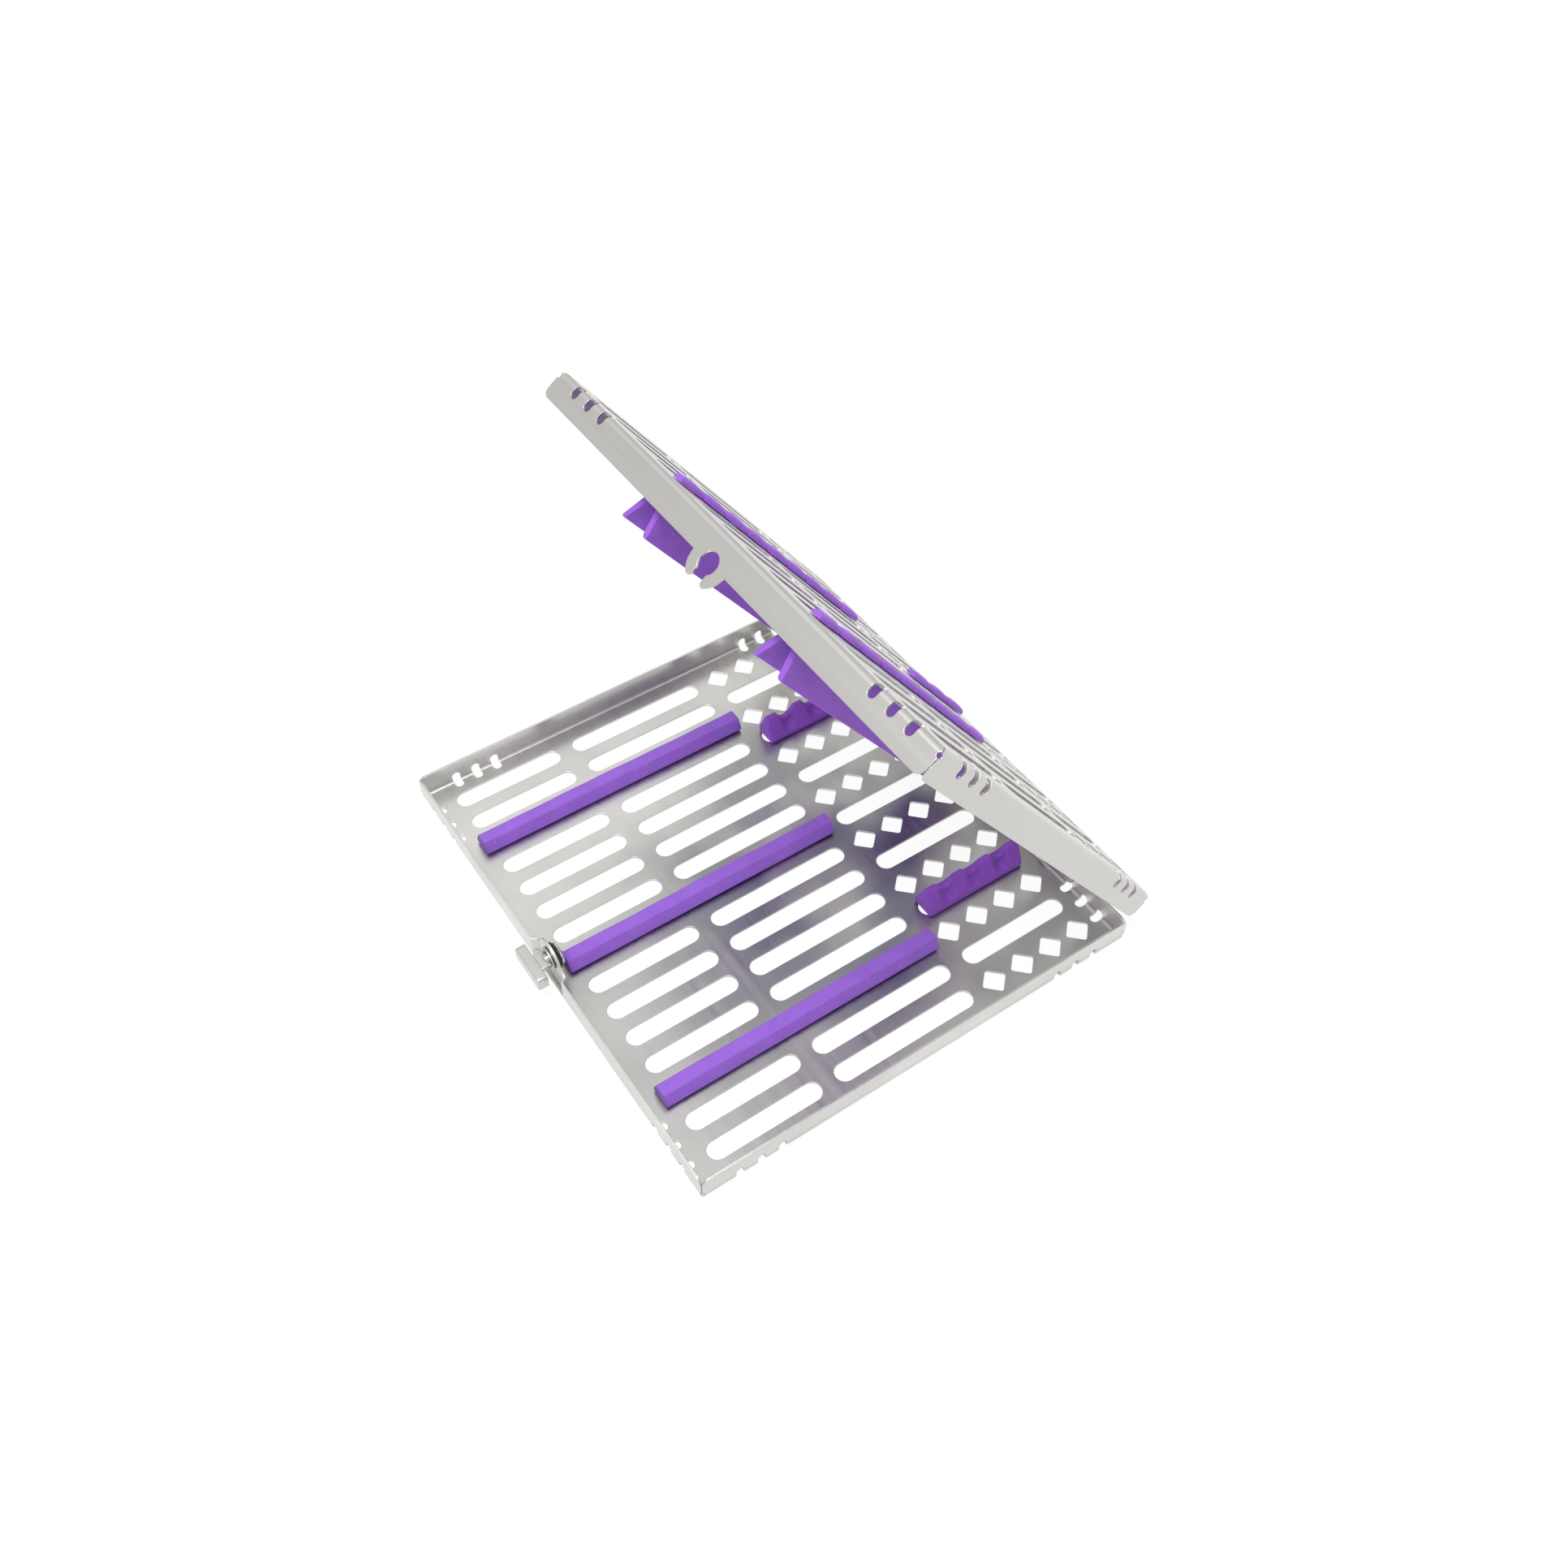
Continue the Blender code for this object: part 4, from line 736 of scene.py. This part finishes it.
FLAP_ROOT, FLAP_OUT = 2.2 * MM, 6.3 * MM
strip_silicone = silicone("strip_silicone", (0.27, 0.092, 0.56), 0.84, 0.4)
for name, x, short in strips:
    front, rear = strip_span(short)
    beads = max(1, round((rear - front) / (12.7 * MM)))
    y = np.linspace(front, rear, beads * 16 + 1)
    phase = (y - front) / (rear - front) * beads
    swell = 0.60 + 0.40 * np.abs(np.sin(pi * phase)) ** 0.42
    end = np.clip(np.minimum(y - front, rear - y) / (0.8 * MM), 0, 1)
    swell = swell * (0.55 + 0.45 * np.sqrt(1 - (1 - end) ** 2))
    t = np.linspace(0, pi, 15)
    arch = np.column_stack((np.sign(np.cos(t)) * np.abs(np.cos(t)) ** 0.75, np.sin(t) ** 0.8))
    arch = np.vstack((arch, ((-0.5, 0), (0, 0), (0.5, 0))))
    lengthwise = np.broadcast_to(y[:, None], (len(y), len(arch)))
    bar = np.stack((x + arch[:, 0] * swell[:, None] * 2.7 * MM, lengthwise,
                    SHUT_HEIGHT + 0.3 * MM + arch[:, 1] * swell[:, None] * 2.2 * MM), -1)
    within, tip = SHUT_HEIGHT - SHEET - 0.3 * MM, SHEET + 0.4 * MM
    lean = 0.9 * MM * sqrt(1 + (FLAP_OUT / (within - tip)) ** 2)
    flap = soften(((FLAP_ROOT, within), (FLAP_OUT + lean, tip), (FLAP_OUT - lean, tip),
                   (0, within - 2.7 * MM), (-FLAP_OUT + lean, tip), (-FLAP_OUT - lean, tip),
                   (-FLAP_ROOT, within)), 0.6 * MM)
    flaps = run_along_y(flap + (x, 0), front, rear, 0.35 * MM, 41, (x, within - FLAP_ROOT))
    reach = (within - flaps[..., 2]) / (within - tip)
    flaps[..., 0] += np.sign(flaps[..., 0] - x) * 0.22 * MM * reach ** 2 * np.sin(flaps[..., 1] * 75)
    levels = (within - 0.3 * MM, SHUT_HEIGHT + 0.6 * MM)
    necks = []
    for place in neck_ys(short):
        ring = slot(x, place - 10 * MM, place + 10 * MM, 2.2 * MM)
        necks.append(np.stack([np.column_stack((ring, np.full(len(ring), z))) for z in levels]))
    shown = [swing_open(grid) for grid in (flaps, bar, *necks)]
    roots = swing_open(np.array(((x, front, within - 1.2 * MM), (x, rear, within - 1.2 * MM))))
    strip = surface(name + "_silicone", *skins(shown, [roots]), strip_silicone)
    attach(strip, "lid")
    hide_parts(name)


# ---- Latch
# A quarter-turn catch on the front tab: a flat satin steel head on a flat shank, a steel washer in
# front, and behind the tab a near-black friction disc under a polished domed cap.

TAB_FRONT = -half_d + 2.0 * MM
WASHER_FRONT = TAB_FRONT - 0.8 * MM
HEAD_REAR = WASHER_FRONT - 4.2 * MM
DISC_FRONT = TAB_FRONT + SHEET + 0.3 * MM
CAP_FRONT = DISC_FRONT + 1.5 * MM


def satin_steel(name, tone, roughness, grain_size):
    """Satin stainless with a fine even grain in its roughness and bump."""
    finish = bpy.data.materials.new(name)
    finish.use_nodes = True
    tree = finish.node_tree
    shader = tree.nodes["Principled BSDF"]
    shader.inputs["Metallic"].default_value = 1.0
    where = tree.nodes.new("ShaderNodeTexCoord").outputs["Object"]
    grain = tree.nodes.new("ShaderNodeTexNoise")
    grain.inputs["Scale"].default_value = grain_size
    grain.inputs["Detail"].default_value = 3.0
    tree.links.new(where, grain.inputs["Vector"])
    mix = tree.nodes.new("ShaderNodeMix")
    mix.data_type = "RGBA"
    mix.inputs["A"].default_value = (*(c * 0.86 for c in tone), 1)
    mix.inputs["B"].default_value = (*tone, 1)
    tree.links.new(grain.outputs["Fac"], mix.inputs["Factor"])
    tree.links.new(mix.outputs["Result"], shader.inputs["Base Color"])
    spread = tree.nodes.new("ShaderNodeMapRange")
    spread.inputs["To Min"].default_value = roughness * 0.8
    spread.inputs["To Max"].default_value = roughness * 1.25
    tree.links.new(grain.outputs["Fac"], spread.inputs["Value"])
    tree.links.new(spread.outputs["Result"], shader.inputs["Roughness"])
    bump = tree.nodes.new("ShaderNodeBump")
    bump.inputs["Strength"].default_value = 0.06
    bump.inputs["Distance"].default_value = 0.00002
    tree.links.new(grain.outputs["Fac"], bump.inputs["Height"])
    tree.links.new(bump.outputs[0], shader.inputs["Normal"])
    return finish


def turned_ring(outline):
    """Outline of (radius, y) points turned about the latch's axis; a closed outline makes a ring."""
    t = np.linspace(0, 2 * pi, 49)[:-1]
    outline = np.asarray(outline)
    r, y = outline[:, 0, None], outline[:, 1, None]
    return np.stack((r * np.cos(t), np.broadcast_to(y, (len(outline), 48)), LATCH_Z + r * np.sin(t)), -1)


def ring_faces(count, around=48):
    """Faces of a ring whose outline closes on itself."""
    index = np.arange(count * around).reshape(count, around)
    a, b = index, np.roll(index, -1, 0)
    return np.stack((a, np.roll(a, -1, 1), np.roll(b, -1, 1), b), -1).reshape(-1, 4)


def washer(name, bore, radius, front, thickness, finish):
    """Rounded flat ring: its section is a softened rectangle turned about the axis."""
    rear = front + thickness
    section = soften(((bore, front), (radius, front), (radius, rear), (bore, rear)), thickness * 0.3, 4)
    grid = turned_ring(section)
    points, faces = grid.reshape(-1, 3), ring_faces(len(section))
    triangles = np.vstack((faces[:, :3], faces[:, (0, 2, 3)]))
    return surface(name, points, faces[:, ::facing(points, triangles)].tolist(), finish)


def plate(half_width, half_height, radius, steps=5):
    """Rectangle with rounded corners, given in millimetres."""
    w, h = half_width, half_height
    return soften(((w, -h), (w, h), (-w, h), (-w, -h)), radius, steps) * MM


HEAD_W, HEAD_H, HEAD_DEEP = 8.5, 2.9, 3.9      # millimetres
knob_steel = satin_steel("knob_steel", (0.60, 0.59, 0.57), 0.24, 3000)
washer_steel = satin_steel("washer_steel", (0.62, 0.61, 0.60), 0.42, 1500)
cap_steel = satin_steel("cap_steel", (0.72, 0.71, 0.70), 0.12, 800)
outline = plate(HEAD_W, HEAD_H, 1.3, 9)
p = np.linspace(0, pi / 2, 6)
inset = np.concatenate((0.5 * (1 - np.sin(p)), 0.25 * (1 - np.sin(p[::-1])))) * MM
along = np.concatenate((0.5 * (1 - np.cos(p)), HEAD_DEEP - 0.25 * (1 - np.cos(p[::-1])))) * MM
scale = 1 - inset[:, None, None] / np.array((HEAD_W * MM, HEAD_H * MM))
flat = outline[None] * scale
lengthwise = np.broadcast_to((HEAD_REAR - HEAD_DEEP * MM + along)[:, None], flat.shape[:2])
head = np.stack((flat[..., 0], lengthwise, LATCH_Z + flat[..., 1]), -1)
shank = run_along_y(plate(3.55, 1.15, 0.4) + (0, LATCH_Z),
                    HEAD_REAR - 0.7 * MM, WASHER_FRONT - 0.3 * MM, 0.2 * MM)
spindle = turned_ring(((2.2 * MM, WASHER_FRONT - 1.4 * MM), (2.2 * MM, CAP_FRONT + 0.95 * MM)))
knob = surface("knob", *skins([head, shank, spindle]), knob_steel)
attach(knob, "latch")
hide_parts("latch_knob")

front_washer = washer("front_washer", 2.5 * MM, 4.4 * MM, WASHER_FRONT, 0.5 * MM, washer_steel)
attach(front_washer, "base")
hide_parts("latch_washer")

# Near-black matte finish for the disc between the tab and the cap.
black_rubber = silicone("black_rubber", (0.022, 0.018, 0.016), 0.8, 0.1)
friction_disc = washer("friction_disc", 2.5 * MM, 5.0 * MM, DISC_FRONT, 1.2 * MM, black_rubber)
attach(friction_disc, "base")
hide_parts("latch_friction_disc")

CAP_RADIUS = 4.3 * MM
dome = np.linspace(radians(8), radians(88), 10)
cap_outline = [(0.02 * MM, CAP_FRONT + 1.25 * MM), (2.5 * MM, CAP_FRONT + 1.25 * MM),
               (2.5 * MM, CAP_FRONT), (4.15 * MM, CAP_FRONT), (CAP_RADIUS, CAP_FRONT + 0.15 * MM)]
cap_outline += [(CAP_RADIUS * cos(a), CAP_FRONT + (0.6 + 1.3 * sin(a)) * MM) for a in dome]
cap = surface("cap", *skins([turned_ring(cap_outline)]), cap_steel)
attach(cap, "latch")
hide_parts("latch_cap")


# ---- Hinges
# Two small butt hinges join the rear walls. Each has a lower leaf with two rolled knuckles, an upper
# leaf with one between them, a headed pin, and four low rivets through the walls.

hinge_steel = satin_steel("hinge_steel", (0.70, 0.69, 0.68), 0.38, 1500)
for node_name, node in nodes.items():
    if node_name.startswith(("hinge_", "rivet_")):
        node.data.materials.clear()
        node.data.materials.append(hinge_steel)
